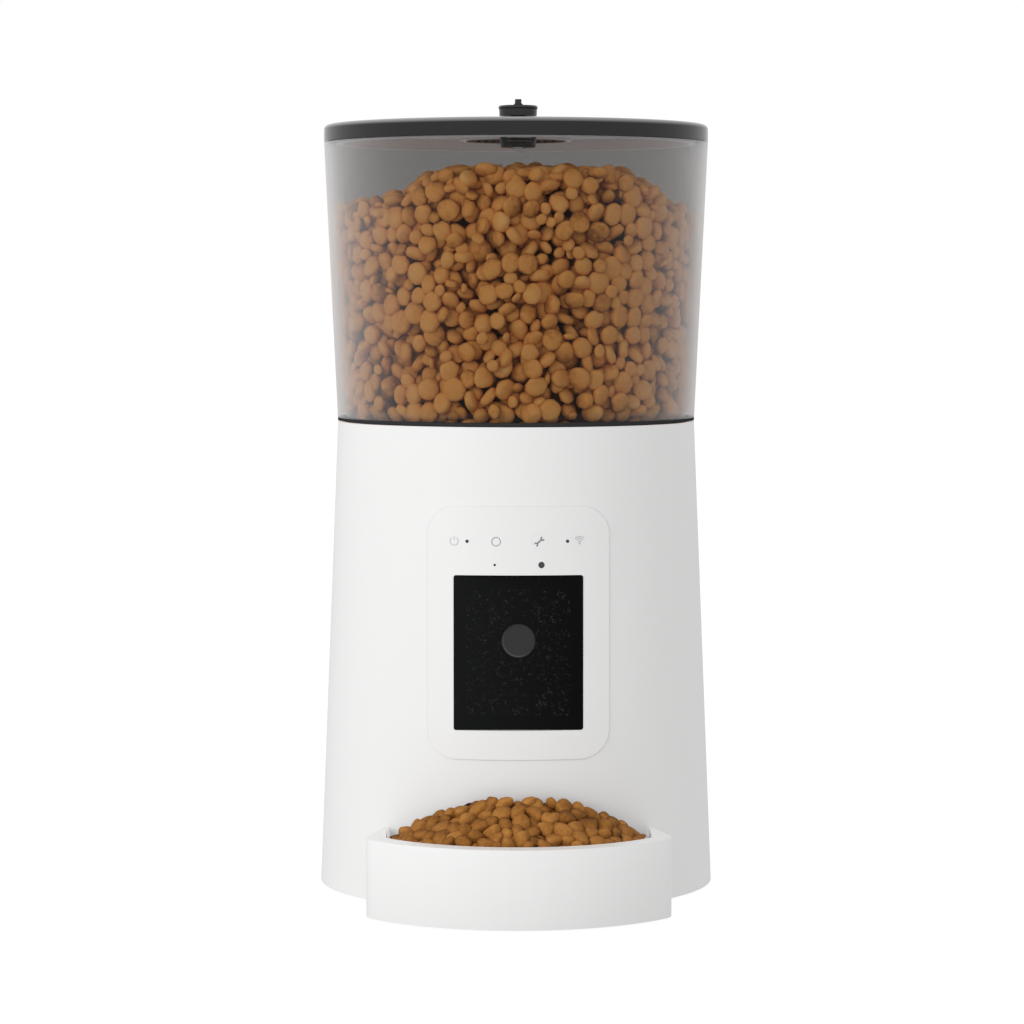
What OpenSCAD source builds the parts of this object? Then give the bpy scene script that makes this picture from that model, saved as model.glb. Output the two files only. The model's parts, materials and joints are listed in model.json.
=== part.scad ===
// Automatic pet feeder: a see-through food tank on a white conical base, a dosing rotor and
// its gear drive inside, a camera panel in front and a tray with a lift-out steel bowl.
// The front is -Y. The body's own axis stands axis_y behind the middle of the footprint.

/* [Base] */
// Radius of the base's outside where it would meet the table
base_foot_r = 106; // [105:0.5:107]
// Radius where the base meets the tank
seam_r = 96; // [95.5:0.5:96.5]
// Height of the base's top edge
seam_z = 250; // [249:1:251]
// Wall of the base's shell
shell_wall = 2.6; // [2.2:0.1:3]
// Gap between the base's bottom edge and the table
foot_gap = 1.5; // [1:0.5:2]

/* [Tank and lid] */
// Outside radius of the tank's top
tank_top_r = 103; // [102:0.5:104]
// Height of the tank's top edge
tank_top_z = 399; // [396:1:402]
// Wall of the tank
tank_wall = 2.5; // [2:0.1:3]
// Height of the lid's edge
lid_h = 9; // [8:0.5:10]
// How much the lid's middle is crowned
lid_crown = 1.6; // [0.5:0.1:2.5]
// Distance of the lid's knob in front of the body's axis
knob_out = 81; // [79:0.5:82]

/* [Front panel] */
// Half of the panel's width
panel_half_w = 47; // [46:0.5:48]
// Height of the panel's lower edge
panel_low_z = 79.3; // [78:0.5:80]
// Height of the panel's upper edge
panel_high_z = 209.5; // [209:0.5:212]
// Radius of the panel's corners
panel_corner_r = 15; // [10:1:18]
// How far the panel stands out of the base
panel_proud = 0.5; // [0.3:0.1:0.8]
// Width of the black window
window_w = 66.6; // [64:0.5:68]
// Height of the black window
window_h = 79.7; // [76:0.5:80]

/* [Tray and bowl] */
// Distance of the tray's front edge from the body's axis
tray_out = 160; // [158:1:162]
// Radius of the tray's front
tray_front_r = 100; // [99:0.5:101]
// Half of the tray's greatest width
tray_half_w = 78; // [77:0.5:79]
// Radius of the tray's front corners
tray_corner_r = 15; // [14.5:0.5:16]
// Height of the tray's rim
tray_top_z = 41.6; // [41:0.2:43]
// Flat width of the tray's rim
rim_w = 9; // [8:0.5:9.5]

/* [Dosing and drive] */
// Number of the rotor's vanes
vane_count = 6; // [5:1:8]
// Tooth size of the gears
gear_module = 1; // [1:0.01:1.01]
// Travel of a button
button_travel = 0.8; // [0.5:0.1:0.9]

/* [Hidden] */
$fn = 96;
eps = 0.01;

// Half of the difference between the tray's reach and the base's puts the origin mid-footprint
axis_y = (tray_out - base_foot_r) / 2;
// Lean of the base's front wall
lean = atan((base_foot_r - seam_r) / seam_z);
panel_mid_z = (panel_low_z + panel_high_z) / 2;
panel_h = panel_high_z - panel_low_z;

// Lid
seam_gap = 0.5;
lid_low_z = tank_top_z + seam_gap;
lid_edge_z = lid_low_z + lid_h;
lid_r = tank_top_r;
lid_inside_z = tank_top_z + 5.6;
cup_low_z = tank_top_z - 2.8;
cup_r = 9.2;
stem_r = 4.15;
tongue_h = 2.4;
tongue_z = cup_low_z - tongue_h - 0.2;
latch_screw_r = 1.5;
seal_in_r = 98.2;
seal_out_r = 101.3;
desiccant_r = 27;

// Dosing unit
housing_floor_z = 140;
housing_r = 62;
housing_top_z = 188;
rotor_low_z = housing_floor_z + 4.5;
rotor_h = 37.5;
rotor_r = 57.6;
neck_r = 58;
seat_out = 92;
shaft_r = 4;
outlet_half_w = 31;
outlet_back_y = -36;
outlet_front_y = -59;

// Gear drive
case_low_z = 104;
case_high_z = 134;
case_half_w = 32.4;
case_front_y = -32.2;
case_back_y = 73.2;
case_wall = 2.2;
output_teeth = 56;
pinion_teeth = 16;
wheel_teeth = 48;
idler_y = gear_module * (output_teeth + pinion_teeth) / 2;
motor_reach = gear_module * (wheel_teeth + pinion_teeth) / 2;
motor_x = 20;
motor_y = idler_y + sqrt(motor_reach * motor_reach - motor_x * motor_x);
motor_angle = atan2(motor_y - idler_y, motor_x);
output_gear_z = 122;
wheel_z = 112;

// Front panel's details, as heights above the table and distances from the middle
window_mid_z = 134.25;
window_recess = 4.9;
lens_z = 140.3;
sign_row_z = 191.5;
sense_row_z = 179.5;
feed_x = -11.5;
settings_x = 10.7;
led_xs = [-26.4, 25.3];
microphone_x = -12.2;
sensor_x = 11.8;
board_depth = 14;

// Food way
outlet_low_z = 38.5;
outlet_high_z = 57;
tongue_half_w = 30;

// Tray
tray_low_z = 1.2;
tray_back_r = base_foot_r + 0.6;
front_c = tray_out - tray_front_r;
corner_x = tray_half_w - tray_corner_r;
corner_y = -front_c - sqrt(pow(tray_front_r - tray_corner_r, 2) - corner_x * corner_x);
side_lean = 15;
ledge_z = 36;

// Radius of the base's outside at height z
function base_r(z) = base_foot_r + (seam_r - base_foot_r) * z / seam_z;
// Radius of the tank's outside at height z
function tank_r(z) = seam_r + (tank_top_r - seam_r) * (z - seam_z) / (tank_top_z - seam_z);
// Height of the lid's top at distance r from the axis
function lid_top(r) = lid_edge_z + lid_crown * (1 - pow(r / lid_r, 2));

module on_axis() {
    translate([0, axis_y, 0]) children();
}

// Copies its children at a height on the base's front, leaning as the wall leans
module on_front(z) {
    translate([0, -base_r(z), z]) rotate([-lean, 0, 0]) children();
}

// A solid piece of the base's cone, smaller than the outside by inset
module base_cone(z0, z1, inset) {
    translate([0, 0, z0])
        cylinder(h = z1 - z0, r1 = base_r(z0) - inset, r2 = base_r(z1) - inset);
}

module ring(z0, z1, r_out, r_in) {
    translate([0, 0, z0]) difference() {
        cylinder(h = z1 - z0, r = r_out);
        translate([0, 0, -1]) cylinder(h = z1 - z0 + 2, r = r_in);
    }
}

module round_square(w, h, r) {
    square([w - 2 * r, h], center = true);
    square([w, h - 2 * r], center = true);
    for (x = [-1, 1], y = [-1, 1])
        translate([x * (w / 2 - r), y * (h / 2 - r)]) circle(r = r);
}

// A plate standing in the XZ plane that runs from y = 0 to y = -depth
module upright(w, h, r, depth) {
    rotate([90, 0, 0]) linear_extrude(depth) round_square(w, h, r);
}

// A rod along -Y from y = y0 to y = y0 - length
module rod_y(y0, length, r) {
    translate([0, y0, 0]) rotate([90, 0, 0]) cylinder(h = length, r = r);
}

module cylinder_y(x, z, y0, length, r) {
    translate([x, 0, z]) rod_y(y0, length, r);
}

module cylinder_at(x, y, z, h, r) {
    translate([x, y, z]) cylinder(h = h, r = r);
}

module slab(x0, x1, y0, y1, z0, z1, r) {
    translate([(x0 + x1) / 2, (y0 + y1) / 2, z0])
        linear_extrude(z1 - z0) round_square(x1 - x0, y1 - y0, r);
}

module box_at(x0, x1, y0, y1, z0, z1) {
    translate([x0, y0, z0]) cube([x1 - x0, y1 - y0, z1 - z0]);
}

// Pan-head screw with its head's underside at z = 0, pointing down
module screw(head_r, shank_r, length) {
    difference() {
        union() {
            cylinder(h = head_r * 0.7, r = head_r, $fn = 32);
            translate([0, 0, -length]) cylinder(h = length, r = shank_r, $fn = 32);
        }
        for (a = [0, 90])
            rotate([0, 0, a]) translate([-head_r * 0.6, -head_r * 0.13, head_r * 0.35])
                cube([head_r * 1.2, head_r * 0.26, head_r]);
    }
}

// Half of a tooth's angle at radius p, for an involute gear of n teeth
function involute(a) = tan(a) * 180 / PI - a;
function tooth_half(p, n, m) =
    90 / n - 0.06 / (m * n) * 180 / PI * 2 + involute(20)
    - involute(acos(min(1, m * n / 2 * cos(20) / p)));

module gear(n, m, h, bore_r, turn) {
    root_r = m * (n / 2 - 1.25);
    base_circle = m * n / 2 * cos(20);
    tip_r = m * (n / 2 + 0.95);
    start_r = max(base_circle, root_r);
    flank = [root_r, for (k = [0:4]) start_r + (tip_r - start_r) * k / 4];
    outline = [
        for (i = [0:n - 1])
            for (s = [-1, 1])
                for (k = [0:5])
                    let (p = flank[s < 0 ? k : 5 - k])
                    let (a = turn + 360 * i / n + s * tooth_half(max(p, start_r), n, m))
                        [p * cos(a), p * sin(a)]
    ];
    difference() {
        linear_extrude(h) polygon(outline);
        translate([0, 0, -1]) cylinder(h = h + 2, r = bore_r);
    }
}

// ---- Lid ----

module lid() {
    plug_in_r = 94;
    plug_out_r = 96.5;
    plug_low_z = lid_low_z - 1.1;
    groove_z = lid_low_z + 2.2;
    edge_r = 2.5;
    color("#101114") on_axis() difference() {
        union() {
            rotate_extrude() polygon(concat(
                [[0, lid_inside_z], [desiccant_r + 3, lid_inside_z], [plug_in_r, lid_inside_z],
                 [plug_in_r, plug_low_z], [plug_out_r, plug_low_z], [plug_out_r, lid_low_z + 1],
                 [seal_in_r - 0.2, lid_low_z + 1], [seal_in_r - 0.2, groove_z],
                 [seal_out_r + 0.2, groove_z], [seal_out_r + 0.2, lid_low_z], [lid_r, lid_low_z]],
                [for (a = [0:15:90])
                    [lid_r - edge_r + edge_r * cos(a), lid_edge_z - edge_r + edge_r * sin(a)]],
                [for (r = [90:-15:0]) [r, lid_top(r)]]));
            // ring that holds the drying agent
            ring(lid_low_z + 0.6, lid_inside_z + 0.4, desiccant_r + 3, desiccant_r);
            // cup that carries the knob's stem
            translate([0, -knob_out, cup_low_z]) cylinder(h = 10, r1 = cup_r, r2 = cup_r + 1);
        }
        translate([0, -knob_out, cup_low_z - 1]) cylinder(h = 30, r = stem_r + 0.1);
    }
}

module lid_seal() {
    color("#3a3b3e") on_axis() ring(lid_low_z - 0.3, lid_low_z + 2.1, seal_out_r, seal_in_r);
}

module desiccant_pack() {
    color("#e9e4d6") on_axis() translate([0, 0, lid_low_z + 2])
        cylinder(h = 3, r = desiccant_r - 2);
}

module desiccant_cover() {
    color("#2b2c30") on_axis() difference() {
        translate([0, 0, lid_low_z + 0.4]) cylinder(h = 1.4, r = desiccant_r - 0.2);
        for (i = [-5:5])
            box_at(i * 4 - 0.8, i * 4 + 0.8, -15, 15, lid_low_z - 1, lid_low_z + 3);
    }
}

module lid_knob() {
    low = lid_top(knob_out) + 0.6;
    rim_r = 1.1;
    rim_at = [9, 4.2];
    bar_z = low + 5;
    bar_half = 8.6;
    bar_w = 3.2;
    color("#1a1b1e") on_axis() translate([0, -knob_out, 0]) {
        translate([0, 0, low]) rotate_extrude() polygon(concat(
            [[0, 0], [9.6, 0]],
            [for (a = [-45:15:90]) [rim_at[0] + rim_r * cos(a), rim_at[1] + rim_r * sin(a)]],
            [[0, 5.5]]));
        // grip bar, with a wider foot
        translate([0, 0, bar_z]) rotate([90, 0, 90]) translate([0, 0, -bar_w / 2])
            linear_extrude(bar_w)
                polygon([[-bar_half, 0], [bar_half, 0], [bar_half - 0.8, 3.2], [0.8 - bar_half, 3.2]]);
        translate([0, 0, bar_z]) rotate([90, 0, 0]) translate([0, 0, -bar_half])
            linear_extrude(2 * bar_half) polygon([[-2.65, 0], [2.65, 0], [1.6, 1.2], [-1.6, 1.2]]);
        translate([0, 0, cup_low_z]) cylinder(h = low + 0.5 - cup_low_z, r = stem_r);
    }
}

// Hub and tongue under the cup; the tongue points back while the latch is open
module latch_tongue() {
    color("#1a1b1e") on_axis() translate([0, -knob_out, tongue_z]) difference() {
        union() {
            cylinder(h = tongue_h, r1 = cup_r - 0.3, r2 = cup_r - 0.1);
            translate([-3.5, 0, 0]) cube([7, 16, tongue_h]);
        }
        translate([0, 0, -1]) cylinder(h = tongue_h + 2, r = latch_screw_r + 0.05);
    }
}

module latch_screw() {
    color("silver") on_axis() translate([0, -knob_out, tongue_z]) mirror([0, 0, 1])
        screw(2.6, latch_screw_r, tongue_h + eps / 10);
}

// ---- Tank ----

module hopper() {
    wall_low_z = seam_z + 0.6;
    seat_z = seam_z - 4;
    neck_in = neck_r - 2.4;
    funnel_low_z = 199;
    funnel_high_z = wall_low_z + 6;
    funnel_high_r = tank_r(funnel_high_z) - tank_wall;
    funnel_slope = (funnel_high_r - neck_in) / (funnel_high_z - funnel_low_z);
    seat_in = neck_in + (seat_z - funnel_low_z) * funnel_slope + 2.9;
    color("#5b5d60", 0.45) on_axis() {
        rotate_extrude() polygon([
            [neck_in, housing_top_z + 0.6], [neck_r, housing_top_z + 0.6], [neck_r, funnel_low_z - 1],
            [seat_in, seat_z], [seat_out, seat_z], [seat_out, wall_low_z],
            [tank_r(wall_low_z), wall_low_z], [tank_top_r, tank_top_z],
            [tank_top_r - tank_wall, tank_top_z], [funnel_high_r, funnel_high_z],
            [neck_in, funnel_low_z]]);
        // lug that the latch's tongue turns under
        intersection() {
            box_at(-6, 6, -tank_top_r, -95, tank_top_z - 2.7, tank_top_z - 1);
            translate([0, 0, tank_top_z - 5]) cylinder(h = 10, r = tank_top_r - tank_wall + 0.5);
        }
    }
}

// ---- Dosing unit ----

module rotor() {
    color("#e8e8ea") on_axis() translate([0, 0, rotor_low_z]) difference() {
        union() {
            cylinder(h = rotor_h, r = 14);
            for (i = [0:vane_count - 1])
                rotate([0, 0, i * 360 / vane_count])
                    translate([0, -1.5, 0]) cube([rotor_r, 3, rotor_h]);
        }
        translate([0, 0, -1]) cylinder(h = rotor_h + 2, r = shaft_r + 0.02);
    }
}

module rotor_shaft() {
    color("silver") on_axis() translate([0, 0, case_low_z - 2]) cylinder(h = 97, r = shaft_r);
}

module output_gear() {
    color("#f2efe2") on_axis() translate([0, 0, output_gear_z]) {
        gear(output_teeth, gear_module, 8, shaft_r + 0.02, 0);
    }
}

module agitator() {
    hub_z = rotor_low_z + rotor_h + 0.1;
    arm_z = 195;
    color("#d9dadc") on_axis() difference() {
        union() {
            translate([0, 0, hub_z]) cylinder(h = 16, r = 9);
            translate([0, 0, hub_z + 16]) cylinder(h = 9, r1 = 9, r2 = 3);
            for (a = [30, 150, 270])
                rotate([0, 0, a]) translate([0, 0, arm_z]) rotate([0, 84, 0])
                    cylinder(h = 42, r = 2);
        }
        translate([0, 0, hub_z - 1]) cylinder(h = 18.2, r = shaft_r + 0.02);
    }
}

module rotor_housing() {
    color("#f4f4f4") on_axis() difference() {
        union() {
            ring(housing_floor_z + 3, housing_top_z, housing_r, housing_r - 2.6);
            // flange that carries the unit in the base
            difference() {
                ring(housing_top_z - 3, housing_top_z, base_r(housing_top_z) - shell_wall - 0.5,
                    housing_r - 1);
                box_at(-120, 120, -120, -72, housing_top_z - 5, housing_top_z + 5);
            }
        }
        for (a = [60, 120, 180, 0])
            rotate([0, 0, a]) translate([86, 0, housing_top_z - 4])
                cylinder(h = 6, r = 1.7, $fn = 32);
    }
}

// Floor under the rotor, with the hole that the food drops through
module housing_floor() {
    color("#f4f4f4") on_axis() difference() {
        union() {
            translate([0, 0, housing_floor_z]) cylinder(h = 3, r = housing_r);
            box_at(-outlet_half_w - 3.5, outlet_half_w + 3.5, outlet_front_y - 3.4,
                outlet_back_y + 3, housing_floor_z, housing_floor_z + 3);
        }
        translate([0, 0, housing_floor_z - 1]) cylinder(h = 6, r = shaft_r + 1.5);
        intersection() {
            box_at(-outlet_half_w, outlet_half_w, outlet_front_y, outlet_back_y,
                housing_floor_z - 1, housing_floor_z + 4);
            translate([0, 0, housing_floor_z - 1]) cylinder(h = 5, r = housing_r - 2.6);
        }
    }
}

// Half disc above the rotor, so that only the pockets at the back fill
module portion_plate() {
    color("#dcdde0") on_axis() difference() {
        intersection() {
            translate([0, 0, 184.2]) cylinder(h = 1.8, r = housing_r - 2.8);
            box_at(-70, 70, -70, -6, 180, 190);
        }
        translate([0, 0, 180]) cylinder(h = 10, r = 12);
    }
}

module wiper_flaps() {
    color("#5a5b5f") on_axis() for (s = [-1, 1])
        translate([s * 36, -7.6, 182.6]) translate([-20, 0, 0]) cube([40, 1.5, 1.55]);
}

module chute() {
    inner = [[outlet_back_y, 140.5], [outlet_front_y, 140.5], [-76, 97], [-103, outlet_high_z],
        [-110, outlet_high_z - 10], [-110, 31.5], [-103, outlet_low_z], [-58, 86]];
    outer = [[outlet_back_y + 2.6, housing_floor_z - 0.2], [outlet_front_y - 2.6, 139.8],
        [-78.4, 98], [-105, outlet_high_z + 2.6], [-110, 50], [-110, 28], [-103, 35.2], [-55.6, 84.5]];
    color("#ececee") on_axis() intersection() {
        difference() {
            translate([-outlet_half_w - 2.4, 0, 0]) rotate([90, 0, 90])
                linear_extrude(2 * outlet_half_w + 4.8) polygon(outer);
            translate([-outlet_half_w, 0, 0]) rotate([90, 0, 90])
                linear_extrude(2 * outlet_half_w) polygon(inner);
        }
        base_cone(20, 160, shell_wall + 0.1);
    }
}

module food_sensors() {
    color("#222326") on_axis() for (s = [-1, 1])
        translate([s * (outlet_half_w + 4.5), -72, 92]) cube([4, 9, 12], center = true);
}

// ---- Gear drive ----

module gear_case_screw_places() {
    for (p = [[-26.5, -26.5], [26.5, -26.5], [28.2, 22], [-26.2, 66]])
        translate([p[0], p[1], 0]) children();
}

module gearbox_case() {
    color("#c9cbd0") on_axis() difference() {
        union() {
            difference() {
                slab(-case_half_w, case_half_w, case_front_y, case_back_y,
                    case_low_z, case_high_z, 10);
                slab(case_wall - case_half_w, case_half_w - case_wall, case_front_y + case_wall,
                    case_back_y - case_wall, case_low_z + 2.5, case_high_z + 1, 7.8);
            }
            cylinder_at(0, 0, case_low_z, 10, 8);
            intersection() {
                gear_case_screw_places() cylinder_at(0, 0, case_low_z, case_high_z - case_low_z, 3.4);
                slab(-case_half_w, case_half_w, case_front_y, case_back_y,
                    case_low_z, case_high_z, 10);
            }
        }
        cylinder_at(0, 0, case_low_z - 1, 20, 6);
        cylinder_at(0, idler_y, case_low_z - 1, 5, 2);
        cylinder_at(motor_x, motor_y, case_low_z - 1, 5, 3);
        gear_case_screw_places() cylinder_at(0, 0, case_high_z - 10, 11, 1.2);
    }
}

module gearbox_cover() {
    color("#c9cbd0") on_axis() difference() {
        union() {
            slab(-case_half_w, case_half_w, case_front_y, case_back_y,
                case_high_z, case_high_z + 2.4, 10);
            cylinder_at(0, 0, case_high_z, 5.2, 9);
        }
        cylinder_at(0, 0, case_high_z - 1, 8, 6);
        cylinder_at(0, idler_y, case_high_z - 1, 5, 2);
        gear_case_screw_places() cylinder_at(0, 0, case_high_z - 1, 5, 1.6);
    }
}

module gearbox_screws() {
    color("silver") on_axis() gear_case_screw_places()
        translate([0, 0, case_high_z + 2.4]) screw(2.7, 1.2, 10);
}

module idler_pin() {
    color("silver") on_axis() cylinder_at(0, idler_y, case_low_z, case_high_z + 2.4 - case_low_z, 2);
}

module shaft_bushes() {
    color("#b08d57") on_axis() {
        ring(case_low_z, case_low_z + 10, 6, shaft_r + 0.05);
        ring(case_high_z, case_high_z + 5.2, 6, shaft_r + 0.05);
    }
}

module idler_gear() {
    half_pitch = 180 / pinion_teeth;
    color("#f2efe2") on_axis() translate([0, idler_y, 0]) {
        translate([0, 0, wheel_z]) gear(wheel_teeth, gear_module, 7, 2.05, 0);
        translate([0, 0, wheel_z + 7]) difference() {
            cylinder(h = 3, r = 6.5);
            translate([0, 0, -1]) cylinder(h = 5, r = 2.05);
        }
        translate([0, 0, wheel_z + 10]) gear(pinion_teeth, gear_module, 9, 2.05, half_pitch);
    }
}

// The pinion is turned so that a gap faces the wheel's tooth on the line of centres
module motor_pinion() {
    wheel_phase = motor_angle / (360 / wheel_teeth);
    pitch = 360 / pinion_teeth;
    turn = (motor_angle + 180) - (0.5 - wheel_phase) * pitch;
    color("#e9d9b0") on_axis() translate([motor_x, motor_y, wheel_z - 1])
        gear(pinion_teeth, gear_module, 9, 1.6, turn);
}

module motor_shaft() {
    color("silver") on_axis() cylinder_at(motor_x, motor_y, 92, 29, 1.58);
}

module motor_can() {
    color("#9a9da3") on_axis() difference() {
        union() {
            cylinder_at(motor_x, motor_y, 66, case_low_z - 66, 12.5);
            cylinder_at(motor_x, motor_y, 84, case_low_z - 84, 14);
            cylinder_at(motor_x, motor_y, 63.5, 3, 5);
        }
        cylinder_at(motor_x, motor_y, 91, 20, 1.65);
    }
}

// ---- Base ----

module bottom_screw_places() {
    for (a = [35, 145, 232, 308])
        rotate([0, 0, a]) translate([92, 0, 0]) children();
}

module flange_boss_places() {
    for (a = [60, 120, 180, 0])
        rotate([0, 0, a]) translate([86, 0, 0]) children();
}

module hopper_deck() {
    deck_low_z = seam_z - 9;
    color("#e4e5e7") on_axis()
        ring(deck_low_z, seam_z - 4.1, base_r(deck_low_z + 5) - shell_wall - 0.1, seat_out - 1.9);
}

module base_shell() {
    color("white") on_axis() difference() {
        union() {
            difference() {
                base_cone(foot_gap, seam_z, 0);
                base_cone(foot_gap - eps, seam_z + eps, shell_wall);
            }
            intersection() {
                union() {
                    bottom_screw_places() cylinder_at(0, 0, 6.2, 20, 4.5);
                    bottom_screw_places() box_at(3, 12, -1, 1, 6.2, 26);
                    flange_boss_places() cylinder_at(0, 0, housing_top_z - 23, 19.9, 4.5);
                    flange_boss_places() box_at(3, 14, -1, 1, housing_top_z - 23, housing_top_z - 3.1);
                    ring(seam_z - 12, seam_z - 9, seam_r + 4, 89.5);
                }
                base_cone(foot_gap, seam_z, shell_wall / 2);
            }
        }
        // opening behind the front panel
        translate([0, -40, panel_mid_z])
            upright(2 * panel_half_w + 0.2, panel_h + 0.2, panel_corner_r + 0.1, 90);
        // food outlet
        translate([0, -80, (outlet_low_z + outlet_high_z) / 2])
            upright(2 * outlet_half_w - 2, outlet_high_z - outlet_low_z, 6, 40);
        // slot for the tray's tongue
        translate([0, -80, 9.1]) upright(2 * tongue_half_w + 1.4, 7.2, 1, 40);
        // power inlet
        translate([0, 120, 26]) upright(14.4, 8.4, 1.5, 40);
        speaker_holes();
        bottom_screw_places() cylinder_at(0, 0, 5, 16, 1.2);
        flange_boss_places() cylinder_at(0, 0, housing_top_z - 15, 16, 1.2);
    }
}

// A round field of small holes in front of the speaker
module speaker_holes() {
    step = 5.2;
    for (i = [-3:3], j = [-3:3]) {
        x = (i + (abs(j) % 2) / 2) * step;
        z = j * step * sin(60);
        if (x * x + z * z < 15 * 15)
            translate([x, 120, 160 + z]) rod_y(0, 40, 1.1);
    }
}

module bottom_cover() {
    cover_r = base_r(6) - shell_wall - 0.3;
    color("#e9eaec") on_axis() difference() {
        union() {
            translate([0, 0, 3]) cylinder(h = 3, r = cover_r);
            box_at(-54, 54, 11, 79, 5, 44);
        }
        // room for the cells, open downwards
        box_at(-51.6, 51.6, 13.4, 76.6, 2, 41.6);
        // recess of the door, longer than the door by its travel
        box_at(-54.2, 54.2, 7.8, 86.3, 2, 5);
        bottom_screw_places() cylinder_at(0, 0, 0, 10, 1.6);
        bottom_screw_places() cylinder_at(0, 0, 0, 4.4, 3.2);
        for (p = foot_places)
            cylinder_at(p[0], p[1], 2, 2.2, 8.2);
    }
}

foot_places = [[-72, -52], [72, -52], [-78, 30], [78, 30]];

module rubber_feet() {
    color("#3d3e41") on_axis() for (p = foot_places)
        cylinder_at(p[0], p[1], 0, 4.2, 8);
}

module bottom_screws() {
    color("silver") on_axis() bottom_screw_places()
        translate([0, 0, 4.4]) mirror([0, 0, 1]) screw(2.9, 1.2, 12);
}

module battery_door() {
    color("#e9eaec") on_axis() difference() {
        box_at(-54, 54, 8, 79, 3, 4.8);
        for (i = [-3:3])
            box_at(-12, 12, 16 + i * 2.2, 17.1 + i * 2.2, 2.6, 3.5);
    }
}

module batteries() {
    for (x = [-34.2, 0, 34.2])
        color("#7d8b99") on_axis() translate([x, 0, 25.2]) {
            rod_y(75, 59.5, 16.4);
            rod_y(75.8, 2, 5);
        }
}

// A flat plate at the plus end and a cone spring at the minus end of each cell
module battery_contacts() {
    for (x = [-34.2, 0, 34.2])
        color("silver") on_axis() translate([x, 0, 25.2]) {
            translate([0, 76.2, 0]) cube([14, 0.5, 14], center = true);
            translate([0, 13.8, 0]) cube([16, 0.5, 16], center = true);
            translate([0, 15.3, 0]) rotate([90, 0, 0]) cylinder(h = 1.3, r1 = 3, r2 = 6);
        }
}

module main_board() {
    color("#1f6b45") on_axis() {
        box_at(-34, 34, 84, 85.6, 60, 130);
        box_at(-14, 6, 81.4, 84, 88, 108);
        box_at(16, 28, 78, 84, 66, 76);
        cylinder_y(-24, 116, 84, 8, 4);
    }
}

module speaker() {
    color("#2a2b2e") on_axis() translate([0, 0, 160]) {
        rod_y(92, 3, 19);
        rod_y(90, 6, 16);
        rod_y(85, 4, 9);
    }
}

module power_inlet() {
    color("#26272a") on_axis() difference() {
        translate([0, base_r(26) - 0.5, 26]) upright(14, 8, 1.3, 11);
        translate([0, base_r(26) + 1, 26]) upright(9.2, 3.4, 1.6, 9);
    }
}

// ---- Front panel ----

module panel_round_hole(x, z, r) {
    translate([x, -60, z]) rod_y(0, 60, r);
}

module control_panel() {
    color("white") on_axis() difference() {
        intersection() {
            base_cone(60, 230, -panel_proud);
            translate([0, -40, panel_mid_z])
                upright(2 * panel_half_w, panel_h, panel_corner_r, 90);
            union() {
                difference() {
                    box_at(-60, 60, -120, -70, 60, 230);
                    base_cone(59, 231, shell_wall - 0.2);
                }
                // frame around the window
                on_front(window_mid_z) translate([0, window_recess + 5, 0])
                    upright(window_w + 6, window_h + 6, 3, 20);
            }
        }
        on_front(window_mid_z) {
            translate([0, window_recess + 2.1, 0])
                upright(window_w + 0.24, window_h + 0.24, 1.3, 20);
            translate([0, 30, 0]) upright(window_w - 5, window_h - 5, 1, 40);
        }
        panel_round_hole(feed_x, sign_row_z, 2.4);
        panel_round_hole(settings_x, sign_row_z, 4.15);
        for (x = led_xs)
            panel_round_hole(x, sign_row_z, 0.9);
        panel_round_hole(microphone_x, sense_row_z, 0.65);
        panel_round_hole(sensor_x, sense_row_z, 1.65);
    }
}

module camera_window() {
    color("#0c0d0f") on_axis() on_front(window_mid_z) difference() {
        translate([0, window_recess + 2, 0]) upright(window_w, window_h, 1.2, 2);
        translate([0, 0, lens_z - window_mid_z]) rod_y(20, 40, 8.9);
    }
}

module camera_barrel() {
    color("#303236") on_axis() on_front(window_mid_z) translate([0, 0, lens_z - window_mid_z])
        difference() {
            rod_y(15.9, 15.9 - window_recess + 0.2, 8.8);
            rod_y(window_recess + 1.4, 10, 8);
        }
}

module camera_lens() {
    color("#3c3e42") on_axis() on_front(window_mid_z) translate([0, 0, lens_z - window_mid_z])
        rod_y(window_recess + 1.4, 1.3, 7.95);
}

module camera_board() {
    color("#1f6b45") on_axis() on_front(window_mid_z) {
        translate([0, 17.5, 0]) upright(52, 64, 2, 1.6);
        translate([-14, 15.9, -22]) upright(12, 12, 0.5, 1.5);
        translate([14, 15.9, -24]) upright(10, 8, 0.5, 1.2);
    }
}

module control_board() {
    color("#1f6b45") on_axis() on_front(sign_row_z - 5)
        translate([0, board_depth + 1.6, 0]) upright(76, 26, 2, 1.6);
}

module tact_switches() {
    color("#2d2e31") on_axis() for (x = [feed_x, settings_x])
        on_front(sign_row_z) translate([x, board_depth, 0]) {
            upright(6, 6, 0.6, 3.4);
            rod_y(-3.3, 0.9, 1.6);
        }
}

// A cap flush with the panel and a stem that ends a little more than its travel off the switch
module button_cap(x, r) {
    stem_end = board_depth - 4.2 - button_travel - 0.1;
    stem_start = 1.6;
    difference() {
        intersection() {
            base_cone(170, 210, -panel_proud);
            translate([x, -80, sign_row_z]) rod_y(0, 60, r);
        }
        base_cone(169, 211, 2.2);
    }
    on_front(sign_row_z) translate([x, stem_end, 0]) rod_y(0, stem_end - stem_start, 1.4);
}

module feed_button() {
    color("white") on_axis() button_cap(feed_x, 2.2);
}

module settings_button() {
    color("white") on_axis() button_cap(settings_x, 4);
}

module led_pipes() {
    color("#33353a") on_axis() for (x = led_xs)
        intersection() {
            translate([x, -60, sign_row_z]) rod_y(-base_r(sign_row_z) + 70, 60, 0.88);
            base_cone(170, 210, -panel_proud);
        }
}

module microphone() {
    color("#111214") on_axis() on_front(sense_row_z)
        translate([microphone_x, board_depth - 0.1, 0]) rod_y(0, 9, 2);
}

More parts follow.
